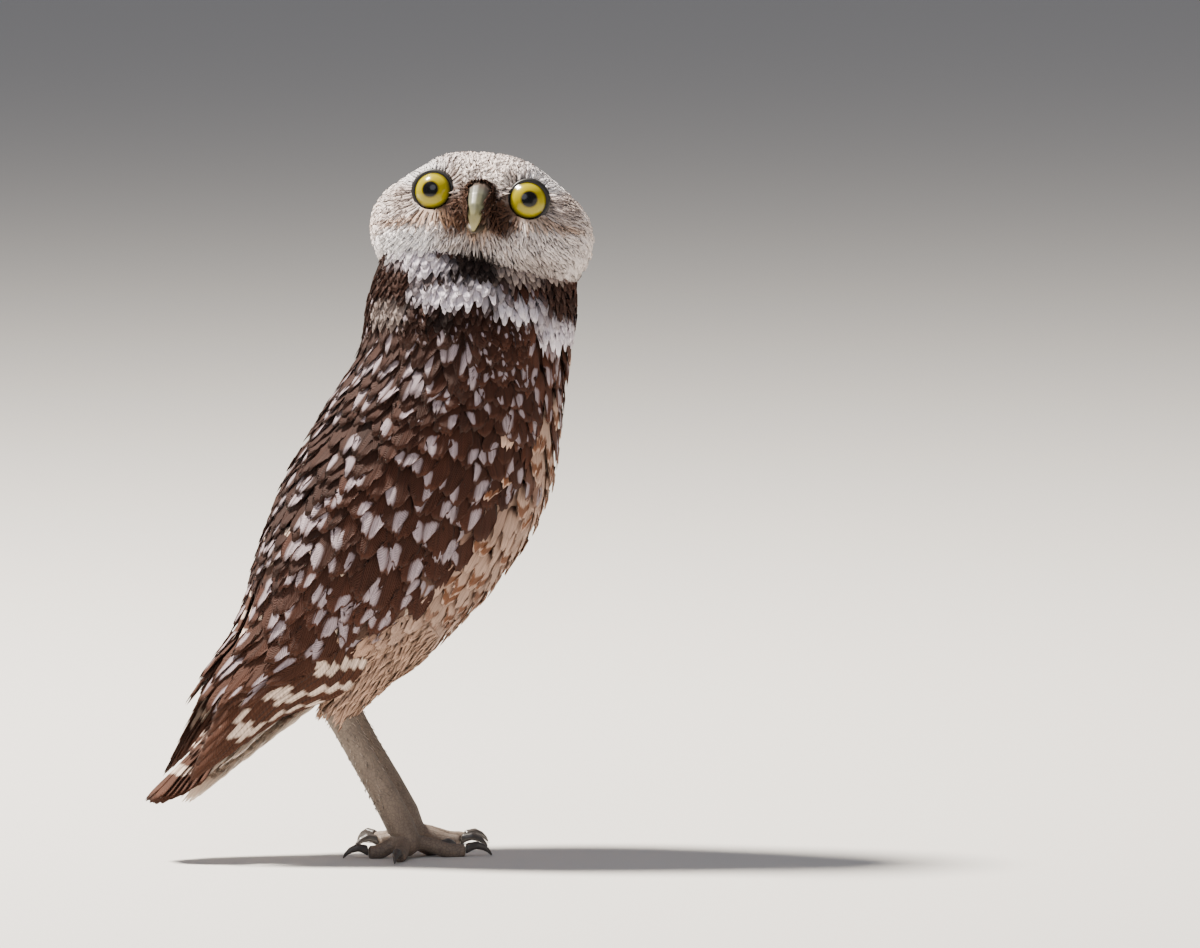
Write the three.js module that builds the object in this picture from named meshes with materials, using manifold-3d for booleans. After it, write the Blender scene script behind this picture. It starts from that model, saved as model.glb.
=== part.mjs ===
import * as THREE from "three";
import { mergeVertices } from "three/addons/utils/BufferGeometryUtils.js";
import Module from "manifold-3d";

// A burrowing owl at life size, standing on both feet and looking back over its right shoulder
// with its face lifted. Millimetres, +Z up. The body faces +X and the owl's left side is +Y.

const wasm = await Module();
wasm.setup();

// Driving dimensions

const GAP = 0.35; // between one piece and the next
const VANE_THICK = 0.6;
const LAYER = 0.98; // from one vane in a stack to the next, gap included
const SLIVER = 0.1; // the finest detail that is kept where solids are joined
const MIDDLE_OF_THE_BOX_X = -5.7; // the origin is moved here, under the middle of the owl

// The body seen from the side, at stations from the neck down to the vent.
// Each has the back's x and z, the breast's x and z, and the body's half width.
const TRUNK = [
  [2, 191, 60, 191, 21],
  [-3, 174, 61.5, 173.5, 31],
  [-6, 157, 57.4, 143, 36],
  [-18.4, 138, 51.6, 110, 39],
  [-30, 119, 35.4, 84.8, 38.5],
  [-37.6, 101, 17, 66.6, 35],
  [-42.8, 85, 1.6, 54.8, 29],
  [-41.7, 68.4, -17.8, 49.8, 19],
  [-49.4, 56.4, -36.5, 43.5, 10.5],
];
// The outline that the folded wings give the body, which leaves it below the rump.
const FIRST_WING_STATION = 7;
const WINGS = [
  ...TRUNK.slice(0, FIRST_WING_STATION),
  [-48, 72, -6.5, 44.4, 25],
  [-56, 60, -30.1, 37.8, 21],
  [-65, 46, -47.6, 25.8, 18],
  [-74.5, 29, -60, 20, 15],
];
const COLLAR = 1.22; // the station where the neck meets the torso
const VENT = 7.25; // the station where the torso meets the tail

// The folded wing's lower and upper edges at the stations, in degrees round from the breast.
const WING_EDGES = [
  [64, 112],
  [64, 118],
  [62, 131],
  [64, 147],
  [65, 159],
  [74, 168],
  [76, 172],
  [75, 173],
  [75, 171],
  [74, 169],
  [75, 164],
];
const WING_TOP = 1.55; // the station of the bend of the wing
const WING_ROUND = 0.55; // over how many stations that bend is rounded
const ARM_END = 4.95; // the station where the wing's own flesh ends
const ARM_OUTER = -2.4; // lifts of the wing's flesh, from the outline of the folded wings
const ARM_INNER = -5.4;
const FLIGHT_INNER = -7; // the room under the wing where the flight feathers are stacked
const TIP_INNER = -5; // and the same at the wing's tip
const CLEARANCE = 6; // how far the body makes room above the wing

const HEAD_AT = new THREE.Vector3(32.6, 0, 196.3);
const HEAD_TURN = -112; // degrees from the body's heading, to the right
const HEAD_LIFT = 28;
const HEAD_ROLL = -6.3;
const HEAD_FRONT = 23;
const HEAD_BACK = 27;
const HEAD_HALF_WIDTH = 34.5;
const CROWN_NARROWING = 0.24; // how much narrower the head is at the crown
const HEAD_UP = 22;
const HEAD_DOWN = 25;
const HEAD_SQUARENESS = 2.2;

const EYE_RADIUS = 7.6;
const EYE_AT = new THREE.Vector3(16.3, 14.1, 2.3); // the owl's left eye, in the head's frame
const EYE_LOOK = new THREE.Vector3(0.94, 0.2, -0.27).normalize();
const EYE_OPENING = 6.1;
const LID_RADIUS = 6.7;
const LID_THICK = 1.05;

const BILL_RIDGE = [
  [18.5, 1.0, 4.6],
  [23.6, -0.4, 4.3],
  [26.6, -3.6, 3.7],
  [28.2, -8.0, 2.9],
  [28.1, -11.4, 1.8],
  [27.3, -14.6, 0.4],
]; // forward, up and half width, from the cere to the tip
const LOWER_BILL = [
  [17.5, -8.6, 3.8],
  [21.5, -10.2, 3.3],
  [24.4, -12.4, 2.2],
  [25.6, -14.2, 0.7],
];
const NOSTRIL_AT = [25.4, 3.3, -1.5];
const NOSTRIL_RADIUS = 0.95;

const LEG_SPREAD = 17; // each leg's distance from the middle plane
const LEFT_LEG_AHEAD = 13.5;
const KNEE = [1, 77];
const HOCK = [-21.8, 47];
const ANKLE = [-0.2, 8.6];
const KNEE_RADIUS = 14.5;
const HOCK_RADIUS = 5.6;
const TARSUS_RADIUS = 4.1;
const TOE_RADIUS = 2.35;
const SOLE_FLAT = 0.35; // how much of each toe's round is cut flat, to stand on
const CLAW_RADIUS = 1.45;
const TOES = [
  { name: "inner", heading: 28, length: 16, claw: 9 },
  { name: "middle", heading: -8, length: 19, claw: 9 },
  { name: "outer", heading: -118, length: 15, claw: 8.5 },
  { name: "hind", heading: 172, length: 12, claw: 8.5 },
]; // headings in degrees from the body's, towards the middle plane

const TAIL_ROOT = new THREE.Vector3(-34, 0, 61);
const TAIL_TIP = new THREE.Vector3(-77, 0, 17);
const TAIL_PAIRS = 6;
const TAIL_MIDDLE_WIDTH = 6.2;
const TAIL_STEP = 1.25; // how far each outer feather shows past the one above it

const radians = THREE.MathUtils.degToRad;
const { clamp, lerp, smoothstep } = THREE.MathUtils;

// A small seeded generator, so that the feathers vary in the same way each time.
function seeded(seed) {
  let state = seed;
  return (spread) => {
    state = (state * 16807) % 2147483647;
    return spread * ((2 * state) / 2147483647 - 1);
  };
}

// Solids

// A closed surface as a solid that faces outwards, whichever way its faces were wound.
function solid(geometry) {
  const bare = new THREE.BufferGeometry();
  bare.setAttribute("position", geometry.getAttribute("position"));
  bare.setIndex(geometry.index);
  const merged = mergeVertices(bare, 1e-4);
  const corners = merged.index.array;
  const triangles = [];
  for (let i = 0; i < corners.length; i += 3) {
    const [a, b, c] = corners.slice(i, i + 3);
    if (a !== b && b !== c && c !== a) triangles.push(a, b, c);
  }
  const vertProperties = merged.attributes.position.array;
  const build = (list) =>
    new wasm.Manifold(new wasm.Mesh({ numProp: 3, vertProperties, triVerts: new Uint32Array(list) }));
  const made = build(triangles);
  return made.volume() > 0 ? made : build(triangles.reverse());
}

function geometryOf(body) {
  const mesh = body.getMesh();
  const geometry = new THREE.BufferGeometry();
  geometry.setAttribute("position", new THREE.BufferAttribute(mesh.vertProperties, 3));
  geometry.setIndex(new THREE.BufferAttribute(mesh.triVerts, 1));
  return geometry;
}

// Keeps a solid's largest closed surface, which drops loose scraps and fills sealed hollows,
// and leaves out the slivers that cutting and joining make.
function largest(body) {
  const pick = (whole) => whole.decompose().reduce((a, b) => (b.volume() > a.volume() ? b : a));
  return pick(pick(body).simplify(SLIVER));
}

// A loft is a unit cylinder whose rings are moved to their places: ring(along, angle, out).
function loft(around, along, ring) {
  const geometry = new THREE.CylinderGeometry(1, 1, 1, around, along);
  const place = geometry.attributes.position;
  for (let i = 0; i < place.count; i++) {
    const [x, y, z] = [place.getX(i), place.getY(i), place.getZ(i)];
    place.setXYZ(i, ...ring(0.5 - y, Math.atan2(z, x), Math.min(1, Math.hypot(x, z))).toArray());
  }
  return solid(geometry);
}

// A plate has an outer and an inner face, each a grid of points(along, across), split alike.
function plate(rows, columns, outer, inner) {
  const positions = [];
  const index = [];
  const at = (face, row, column) => (face * (rows + 1) + row) * (columns + 1) + column;
  for (const face of [outer, inner])
    for (let row = 0; row <= rows; row++)
      for (let column = 0; column <= columns; column++)
        positions.push(...face(row / rows, column / columns).toArray());
  const square = (a, b, c, d) => index.push(a, b, c, a, c, d);
  for (let row = 0; row < rows; row++)
    for (let column = 0; column < columns; column++) {
      const corners = (face) => [
        at(face, row, column),
        at(face, row, column + 1),
        at(face, row + 1, column + 1),
        at(face, row + 1, column),
      ];
      square(...corners(0));
      const [a, b, c, d] = corners(1);
      index.push(a, c, b, a, d, c);
    }
  for (let row = 0; row < rows; row++) {
    square(at(0, row, 0), at(0, row + 1, 0), at(1, row + 1, 0), at(1, row, 0));
    square(at(0, row + 1, columns), at(0, row, columns), at(1, row, columns), at(1, row + 1, columns));
  }
  for (let column = 0; column < columns; column++) {
    square(at(0, 0, column + 1), at(0, 0, column), at(1, 0, column), at(1, 0, column + 1));
    square(at(0, rows, column), at(0, rows, column + 1), at(1, rows, column + 1), at(1, rows, column));
  }
  const geometry = new THREE.BufferGeometry();
  geometry.setAttribute("position", new THREE.Float32BufferAttribute(positions, 3));
  geometry.setIndex(index);
  return solid(geometry);
}

// A tube of changing radius along a smooth line through points.
function limb(points, radii, around, along) {
  const line = new THREE.CatmullRomCurve3(points);
  const size = new THREE.CatmullRomCurve3(radii.map((r) => new THREE.Vector3(r, 0, 0)));
  const sideways = new THREE.Vector3(0, 1, 0);
  return loft(around, along, (s, angle, out) => {
    const tangent = line.getTangent(s);
    const up = new THREE.Vector3().crossVectors(sideways, tangent).normalize();
    const side = new THREE.Vector3().crossVectors(tangent, up).normalize();
    const radius = size.getPoint(s).x * out;
    return line
      .getPoint(s)
      .addScaledVector(up, radius * Math.sin(angle))
      .addScaledVector(side, radius * Math.cos(angle));
  });
}

// The body's outline

function outline(stations) {
  const through = (pick) =>
    new THREE.CatmullRomCurve3(stations.map(pick), false, "catmullrom", 0.5);
  const back = through(([x, z]) => new THREE.Vector3(x, 0, z));
  const breast = through(([, , x, z]) => new THREE.Vector3(x, 0, z));
  const width = through(([, , , , half]) => new THREE.Vector3(half, 0, 0));
  return (station) => {
    const t = clamp(station / (stations.length - 1), 0, 1);
    const near = back.getPoint(t);
    const far = breast.getPoint(t);
    return {
      centre: near.clone().add(far).multiplyScalar(0.5),
      arm: far.clone().sub(near).multiplyScalar(0.5),
      half: width.getPoint(t).x,
    };
  };
}
const trunkAt = outline(TRUNK);
const wingsAt = outline(WINGS);

// A point at an angle round from the breast, lifted off the outline; side is 1 on the owl's left.
function onOutline(outlineAt, station, angle, lift, side = 1) {
  const { centre, arm, half } = outlineAt(station);
  const [c, s] = [Math.cos(angle), Math.sin(angle)];
  const normal = arm.clone().multiplyScalar(c / arm.lengthSq());
  normal.y = (side * s) / half;
  normal.normalize();
  const point = centre.clone().addScaledVector(arm, c);
  point.y = side * half * s;
  return point.addScaledVector(normal, lift);
}

// How many millimetres one radian is worth there.
function reachRound(outlineAt, station, angle) {
  const { arm, half } = outlineAt(station);
  return Math.hypot(arm.length() * Math.sin(angle), half * Math.cos(angle));
}

function trunk(first, last, along, lift = 0) {
  return loft(28, along, (s, angle, out) => {
    const station = lerp(first, last, s);
    const edge = onOutline(trunkAt, station, angle, lift);
    return trunkAt(station).centre.lerp(edge, out);
  });
}

// Wings

const edgeCurves = [0, 1].map(
  (which) =>
    new THREE.CatmullRomCurve3(
      WING_EDGES.map((edges) => new THREE.Vector3(radians(edges[which]), 0, 0)),
      false,
      "catmullrom",
      0.5,
    ),
);

// The angle at a share of the way down the wing, from its upper edge at 0 to its lower one at 1.
function wingAngle(station, share) {
  const t = clamp(station / (WING_EDGES.length - 1), 0, 1);
  const [low, high] = edgeCurves.map((curve) => curve.getPoint(t).x);
  const from = clamp((WING_TOP + WING_ROUND - station) / WING_ROUND, 0, 1);
  const spread = Math.sqrt(1 - 0.85 * from * from);
  return (low + high) / 2 + spread * (high - low) * (0.5 - share);
}

function wingSpan(station) {
  const middle = wingAngle(station, 0.5);
  return (wingAngle(station, 0) - wingAngle(station, 1)) * reachRound(wingsAt, station, middle);
}

// A feather's half width along its length, as a share of its widest.
function vaneShape(s) {
  return Math.min(1, 0.62 + 0.9 * s) * Math.sqrt(1 - 0.93 * s ** 5);
}

// One vane. centre(s) gives its station and share down the wing, and lift(s, across) its height.
function wingVane({ rows, side, halfWidth, centre, lift }) {
  const face = (depth) => (s, column) => {
    const [station, share] = centre(s);
    const across = (2 * column - 1) * halfWidth * vaneShape(s);
    const middle = wingAngle(station, share);
    const turn = middle - across / reachRound(wingsAt, station, middle);
    const angle = Math.min(turn, Math.PI - BETWEEN_WINGS / wingsAt(station).half);
    const ridge = column === 0.5 ? 0.3 : 0;
    return onOutline(wingsAt, station, angle, lift(s, across) + ridge - depth, side);
  };
  return plate(rows, 2, face(0), face(VANE_THICK));
}

const COVERT_TIERS = [
  { station: 1.75, reach: 1.1, count: 4 },
  { station: 2.5, reach: 1.15, count: 5 },
  { station: 3.25, reach: 1.2, count: 6 },
  { station: 4.05, reach: 1.4, count: 7 },
];
const COVERT_TIP_LIFT = 0.2;

function covertTier({ station, reach, count }, side, vary) {
  const spacing = wingSpan(station + reach * 0.6) / count;
  return Array.from({ length: count }, (_, i) => {
    const share = (i + 0.5) / count;
    const length = reach * (1 + vary(0.08));
    return wingVane({
      rows: 2,
      side,
      halfWidth: spacing * 0.56,
      centre: (s) => [station + length * s, share],
      lift: (s, across) =>
        lerp(ARM_OUTER - 1, COVERT_TIP_LIFT, Math.min(1, 1.5 * s)) + (LAYER * across) / spacing,
    });
  });
}

// The flight feathers, from the innermost tertial to the longest primary.
const FLIGHT_COUNT = 11;
const FLIGHT_ROOT = 4.55;
const FLIGHT_TIPS = [7, 7.6, 8.2, 8.8, 9.3, 9.75, 10, 9.9, 9.6, 9.1, 8.5];
const FLIGHT_TIP_SHARES = [0.08, 0.14, 0.2, 0.27, 0.36, 0.45, 0.54, 0.63, 0.72, 0.81, 0.9];
const FLIGHT_HALF_WIDTH = 5.5;
const FLIGHT_LIFT = -0.7;
const BETWEEN_WINGS = 0.7; // each wing's distance from the middle plane, where they meet

function flightVane(order, side) {
  const root = (order + 0.6) / FLIGHT_COUNT;
  const tip = FLIGHT_TIPS[order];
  const tipShare = FLIGHT_TIP_SHARES[order];
  const narrow = order < 3 ? 1 : 0.86;
  return wingVane({
    rows: 5,
    side,
    halfWidth: FLIGHT_HALF_WIDTH * narrow,
    centre: (s) => [lerp(FLIGHT_ROOT, tip, s), lerp(root, tipShare, s ** 1.3)],
    lift: (s, across) => {
      const above = (FLIGHT_HALF_WIDTH * narrow - across) / lerp(4.6, 3, s);
      return FLIGHT_LIFT - LAYER * Math.min(order, above);
    },
  });
}

// The wing's own flesh, which thickens to the end that the flight feathers grow from.
function wingFlesh(side) {
  const face = (inner) => (s, column) => {
    const station = lerp(WING_TOP, ARM_END, s);
    const end = smoothstep(station, 3.6, 4.7);
    const lift = inner ? lerp(ARM_INNER, FLIGHT_INNER, end) : lerp(ARM_OUTER, -1.1, end);
    return onOutline(wingsAt, station, wingAngle(station, column), lift, side);
  };
  return plate(7, 5, face(false), face(true));
}

function wing(side) {
  const vary = seeded(side > 0 ? 71 : 29);
  const coverts = COVERT_TIERS.flatMap((tier) => covertTier(tier, side, vary));
  const flight = FLIGHT_TIPS.map((_, order) => flightVane(order, side));
  return largest(wasm.Manifold.union([wingFlesh(side), ...coverts, ...flight]));
}

function underside(station) {
  const stack = lerp(FLIGHT_INNER, TIP_INNER, smoothstep(station, 7, 9.5));
  return lerp(ARM_INNER, stack, smoothstep(station, 3.4, 4.5)) - 2 * GAP;
}

// The room that a wing takes, with the gap round it, which is cut from what it lies on.
function wingRoom(side) {
  const face = (liftAt) => (s, column) => {
    const station = lerp(WING_TOP - 0.03, WINGS.length - 1, s);
    const middle = wingAngle(station, 0.5);
    const margin = lerp(-0.07, 0.16, column);
    const joined = station > 5 && column === 0 ? Math.PI + 0.1 : 0;
    const angle = joined || wingAngle(station, column) - margin;
    return onOutline(wingsAt, station, Math.max(angle, middle - 2), liftAt(station), side);
  };
  return plate(20, 4, face(() => CLEARANCE), face(underside));
}

// Head

const BUMPS = [
  { at: [0.72, 0.5, 0.52], size: 1.6, spread: 0.3 }, // brow
  { at: [0.8, 0.6, 0.02], size: -0.7, spread: 0.22 }, // round the eye
  { at: [1, 0, -0.1], size: 1.6, spread: 0.3 }, // root of the bill
  { at: [0.62, 0.62, -0.48], size: 2.0, spread: 0.42 }, // cheek
  { at: [0.72, 0, -0.7], size: 1.5, spread: 0.3 }, // chin
].flatMap(({ at: [forward, left, up], size, spread }) =>
  (left ? [left, -left] : [0]).map((y) => ({
    direction: new THREE.Vector3(forward, y, up).normalize(),
    size,
    spread,
  })),
);

// Straight up, in the frame of the lifted head.
const LIFTED_UP = new THREE.Vector3(0, 0, 1).applyAxisAngle(
  new THREE.Vector3(0, 1, 0),
  radians(HEAD_LIFT),
);

function headRadius(n) {
  const length = lerp(HEAD_BACK, HEAD_FRONT, smoothstep(n.x, -0.3, 0.5));
  const height = lerp(HEAD_DOWN, HEAD_UP, smoothstep(n.z, -0.3, 0.3));
  const crown = smoothstep(n.dot(LIFTED_UP), -0.1, 0.85);
  const width = HEAD_HALF_WIDTH * (1 - CROWN_NARROWING * crown);
  const share = (component, size) => Math.abs(component / size) ** HEAD_SQUARENESS;
  const sum = share(n.x, length) + share(n.y, width) + share(n.z, height);
  const bump = ({ direction, size, spread }) =>
    size * Math.exp(-((n.angleTo(direction) / spread) ** 2));
  return sum ** (-1 / HEAD_SQUARENESS) + BUMPS.reduce((total, each) => total + bump(each), 0);
}

function skull(extra = 0) {
  const geometry = new THREE.SphereGeometry(1, 28, 18).rotateX(Math.PI / 2);
  const place = geometry.attributes.position;
  const n = new THREE.Vector3();
  for (let i = 0; i < place.count; i++) {
    n.fromBufferAttribute(place, i).normalize();
    n.multiplyScalar(headRadius(n) + extra);
    place.setXYZ(i, n.x, n.y, n.z);
  }
  return solid(geometry);
}

const mirrored = (v, side) => new THREE.Vector3(v.x, side * v.y, v.z);

function ball(radius, centre, around = 16) {
  const geometry = new THREE.SphereGeometry(radius, around, Math.round(around * 0.65));
  return solid(geometry.translate(centre.x, centre.y, centre.z));
}

// The round opening that shows the eye, cut from the eye's middle outwards.
function eyeOpening(side) {
  const look = mirrored(EYE_LOOK, side);
  const turn = new THREE.Quaternion().setFromUnitVectors(new THREE.Vector3(0, 1, 0), look);
  const at = mirrored(EYE_AT, side);
  const hole = new THREE.CylinderGeometry(EYE_OPENING + 0.5, EYE_OPENING, 12, 16);
  return solid(hole.translate(0, 6, 0).applyQuaternion(turn).translate(at.x, at.y, at.z));
}

function lid(side) {
  const look = mirrored(EYE_LOOK, side);
  const turn = new THREE.Quaternion().setFromUnitVectors(new THREE.Vector3(0, 0, 1), look);
  const at = mirrored(EYE_AT, side).addScaledVector(look, 4.7);
  const ring = new THREE.TorusGeometry(LID_RADIUS, LID_THICK, 5, 16).applyQuaternion(turn);
  return solid(ring.translate(at.x, at.y, at.z));
}

// A horn sheath along the bill: rounded above, flatter below.
function bill(points, extra, depth) {
  const line = new THREE.CatmullRomCurve3(points.map(([x, z]) => new THREE.Vector3(x, 0, z)));
  const size = new THREE.CatmullRomCurve3(points.map(([, , half]) => new THREE.Vector3(half, 0, 0)));
  return loft(14, 7, (s, angle, out) => {
    const tangent = line.getTangent(s);
    const up = new THREE.Vector3(-tangent.z, 0, tangent.x);
    const half = (size.getPoint(s).x + extra) * out;
    const point = line.getPoint(s).addScaledVector(up, half * depth * Math.sin(angle));
    point.y = half * Math.cos(angle);
    return point;
  });
}
const BILL_DEPTH = 1.05;
const LOWER_DEPTH = 0.55;

function headPieces() {
  const eyes = [1, -1];
  const room = (body) => body.add(body.translate([-2 * GAP, 0, 0]));
  const upperRoom = room(bill(BILL_RIDGE, GAP, BILL_DEPTH));
  const lowerRoom = room(bill(LOWER_BILL, GAP, LOWER_DEPTH));
  const sockets = eyes.map((side) => ball(EYE_RADIUS + 2 * GAP, mirrored(EYE_AT, side), 12));
  const open = wasm.Manifold.difference([skull(), ...eyes.map(eyeOpening)]);
  const whole = wasm.Manifold.union([open, ...eyes.map(lid)]);
  const head = wasm.Manifold.difference([whole, ...sockets, upperRoom, lowerRoom]);
  const nostrils = eyes.map((side) =>
    ball(NOSTRIL_RADIUS, new THREE.Vector3(NOSTRIL_AT[0], side * NOSTRIL_AT[1], NOSTRIL_AT[2]), 8),
  );
  return {
    head: largest(head),
    eye_left: ball(EYE_RADIUS, mirrored(EYE_AT, 1)),
    eye_right: ball(EYE_RADIUS, mirrored(EYE_AT, -1)),
    bill_upper: largest(wasm.Manifold.difference([bill(BILL_RIDGE, 0, BILL_DEPTH), ...nostrils])),
    bill_lower: largest(bill(LOWER_BILL, 0, LOWER_DEPTH).subtract(upperRoom)),
  };
}

const headGroup = new THREE.Group();
headGroup.position.copy(HEAD_AT);
headGroup.rotation.set(radians(HEAD_ROLL), -radians(HEAD_LIFT), radians(HEAD_TURN), "ZYX");
headGroup.updateMatrix();

// Tail

const tailAxis = TAIL_TIP.clone().sub(TAIL_ROOT).normalize();
const tailTop = new THREE.Vector3(tailAxis.z, 0, -tailAxis.x); // towards the back
const tailLength = TAIL_TIP.distanceTo(TAIL_ROOT);

// A vane of the tail between two distances from its middle line, at a height under its top.
function tailVane({ from, to, length, height, droop, rows = 4 }) {
  const face = (depth) => (s, column) => {
    const y = lerp(from(s), to(s), column);
    const ridge = column === 0.5 ? 0.3 : 0;
    const lift = height(s) - droop * Math.abs(y) + ridge - depth;
    return TAIL_ROOT.clone()
      .addScaledVector(tailAxis, length * s)
      .addScaledVector(tailTop, lift)
      .add(new THREE.Vector3(0, y, 0));
  };
  return plate(rows, 2, face(0), face(VANE_THICK));
}

// The tail is narrow between the wings' tips and spreads past them.
function tailSpread(s) {
  return 0.5 + 0.2 * Math.min(1, s / 0.7) + 0.3 * smoothstep(s, 0.78, 0.97);
}

function rectrix(pair, side) {
  const outer = TAIL_MIDDLE_WIDTH + TAIL_STEP * pair;
  const length = tailLength * (1 - 0.012 * pair * pair * 0.6);
  return tailVane({
    from: () => side * 0.3,
    to: (s) => side * tailSpread(s) * outer * Math.sqrt(1 - 0.5 * s ** 12),
    length,
    height: () => -LAYER * pair,
    droop: 0.12,
    rows: 6,
  });
}

const UNDER_COVERTS = [
  { reach: 0.82, width: 4.6, aside: 0 },
  { reach: 0.7, width: 4.2, aside: 3.6 },
];
const UPPER_COVERTS = [{ reach: 0.4, width: 4.6, aside: 0 }];

function tailCovert({ reach, width, aside }, side, height, slope) {
  return tailVane({
    from: (s) => side * aside - width * vaneShape(s),
    to: (s) => side * aside + width * vaneShape(s),
    length: tailLength * reach,
    height: (s) => height + slope * s,
    droop: 0.1,
    rows: 3,
  });
}

function tail() {
  const sides = [1, -1];
  const feathers = Array.from({ length: TAIL_PAIRS }, (_, pair) =>
    sides.map((side) => rectrix(pair, side)),
  ).flat();
  const coverts = (list, first, step, slope) =>
    list.flatMap((each, layer) =>
      (each.aside ? sides : [1]).map((side) => {
        const height = first + step * (2 * layer - (side > 0 ? 0 : 1));
        return tailCovert(each, side, height, slope);
      }),
    );
  const below = coverts(UNDER_COVERTS, -LAYER * (TAIL_PAIRS + 2), LAYER, 0.6);
  const above = coverts(UPPER_COVERTS, LAYER * 1.6, 0, 0.2);
  const stump = trunk(VENT + 0.03, TRUNK.length - 1, 5);
  return wasm.Manifold.union([stump, ...feathers, ...below, ...above]);
}

// Legs

const inPlane = ([x, z], side) => {
  const ahead = side > 0 ? LEFT_LEG_AHEAD : 0;
  return new THREE.Vector3(x + ahead, side * LEG_SPREAD, z);
};

// Cuts a solid at the plane between two bones, leaving it on the side that faces along away.
function cutAt(body, point, away, back) {
  const normal = away.clone().normalize();
  return body.trimByPlane(normal.toArray(), normal.dot(point) + back);
}

function leg(side) {
  const hock = inPlane(HOCK, side);
  const ankle = inPlane(ANKLE, side);
  const knee = inPlane(side > 0 ? [KNEE[0] - 6, KNEE[1]] : KNEE, side);
  const down = ankle.clone().sub(hock).normalize();
  const up = knee.clone().sub(hock).normalize();
  const between = up.clone().sub(down).normalize();
  const above = hock.clone().addScaledVector(up, 14);
  const below = hock.clone().addScaledVector(down, 14);
  const shank = limb(
    [hock.clone().addScaledVector(up, -4), above, knee],
    [HOCK_RADIUS - 0.6, HOCK_RADIUS + 3.4, KNEE_RADIUS],
    18,
    6,
  );
  const bone = limb(
    [
      hock.clone().addScaledVector(down, -5),
      below,
      ankle,
      ankle.clone().add(new THREE.Vector3(0.6, 0, -5)),
    ],
    [HOCK_RADIUS - 1, TARSUS_RADIUS, TARSUS_RADIUS + 0.6, TARSUS_RADIUS + 0.8],
    14,
    8,
  );
  const level = new THREE.Vector3(0, 0, 1);
  return {
    thigh: cutAt(shank, hock, between, GAP / 2),
    tarsus: cutAt(cutAt(bone, hock, between.clone().negate(), GAP / 2), ankle, level, -1),
  };
}

// A toe runs out from the ankle, arches over its joints and comes down flat on its pads.
function toeLine(side, { heading, length }) {
  const angle = radians(heading) * -side;
  const out = new THREE.Vector3(Math.cos(angle), Math.sin(angle), 0);
  const root = inPlane([ANKLE[0] + 1.2, 0], side);
  const standing = TOE_RADIUS - SOLE_FLAT;
  const at = (distance, height) =>
    root.clone().addScaledVector(out, distance).setZ(height);
  return {
    out,
    end: at(length, standing),
    points: [at(0, 5), at(length * 0.34, 4.3), at(length * 0.7, standing), at(length + 1, standing)],
  };
}

function foot(side) {
  const toes = TOES.map((toe) => {
    const { points, out, end } = toeLine(side, toe);
    const radii = [TOE_RADIUS + 0.8, TOE_RADIUS, TOE_RADIUS + 0.15, TOE_RADIUS - 0.4];
    return cutAt(limb4(points, radii), end, out.negate(), GAP / 2);
  });
  const root = inPlane([ANKLE[0] + 0.9, 5.2], side);
  const palm = solid(new THREE.SphereGeometry(5.1, 10, 8).translate(root.x, root.y, root.z));
  const whole = wasm.Manifold.union([palm, ...toes]);
  const topped = cutAt(whole, inPlane(ANKLE, side), new THREE.Vector3(0, 0, -1), 1 + GAP);
  return largest(topped.trimByPlane([0, 0, 1], 0));
}

// A tube whose line may run any way over the floor, with its rings kept upright.
function limb4(points, radii, around = 8, along = 6) {
  const line = new THREE.CatmullRomCurve3(points);
  const size = new THREE.CatmullRomCurve3(radii.map((r) => new THREE.Vector3(r, 0, 0)));
  const up = new THREE.Vector3(0, 0, 1);
  return loft(around, along, (s, angle, out) => {
    const tangent = line.getTangent(s);
    const side = new THREE.Vector3().crossVectors(tangent, up).normalize();
    const over = new THREE.Vector3().crossVectors(side, tangent).normalize();
    const radius = size.getPoint(s).x * out;
    return line
      .getPoint(s)
      .addScaledVector(over, radius * Math.sin(angle))
      .addScaledVector(side, radius * Math.cos(angle));
  });
}

function claw(side, toe) {
  const { out, end } = toeLine(side, toe);
  const at = (forward, lift) =>
    end.clone().addScaledVector(out, forward * toe.claw).setZ(end.z + lift);
  const line = [at(-0.1, -0.2), at(0.32, 1.5), at(0.74, 0.3), at(0.94, -1.7)];
  const radii = [CLAW_RADIUS, CLAW_RADIUS, CLAW_RADIUS * 0.62, 0.3];
  const whole = cutAt(limb4(line, radii, 7, 5), end, out, GAP / 2);
  return largest(whole.trimByPlane([0, 0, 1], 0));
}

// Materials

const material = (color, roughness, metalness = 0) =>
  new THREE.MeshStandardMaterial({ color, roughness, metalness });
const BROWN_FEATHER = material("#5b463b", 0.85);
const SPOTTED_FEATHER = material("#6b564a", 0.85);
const PALE_FEATHER = material("#c9b8a8", 0.9);
const FACE_FEATHER = material("#d8cfc8", 0.9);
const HORN = material("#a3a98c", 0.45);
const IRIS = material("#d9cb2e", 0.1);
const SHANK_FEATHER = material("#9c8f86", 0.9);
const TOE_SKIN = material("#7d7268", 0.7);
const CLAW_HORN = material("#34302e", 0.35);

// Assembly

const owl = new THREE.Group();
owl.position.x = -MIDDLE_OF_THE_BOX_X;

function add(parent, name, body, look) {
  const mesh = new THREE.Mesh(geometryOf(body), look);
  mesh.name = name;
  parent.add(mesh);
}

const SIDES = { left: 1, right: -1 };
const rooms = Object.values(SIDES).map(wingRoom);
const headLooks = { head: FACE_FEATHER, bill_upper: HORN, bill_lower: HORN };
for (const [name, body] of Object.entries(headPieces()))
  add(headGroup, name, body, headLooks[name] ?? IRIS);
owl.add(headGroup);

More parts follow.
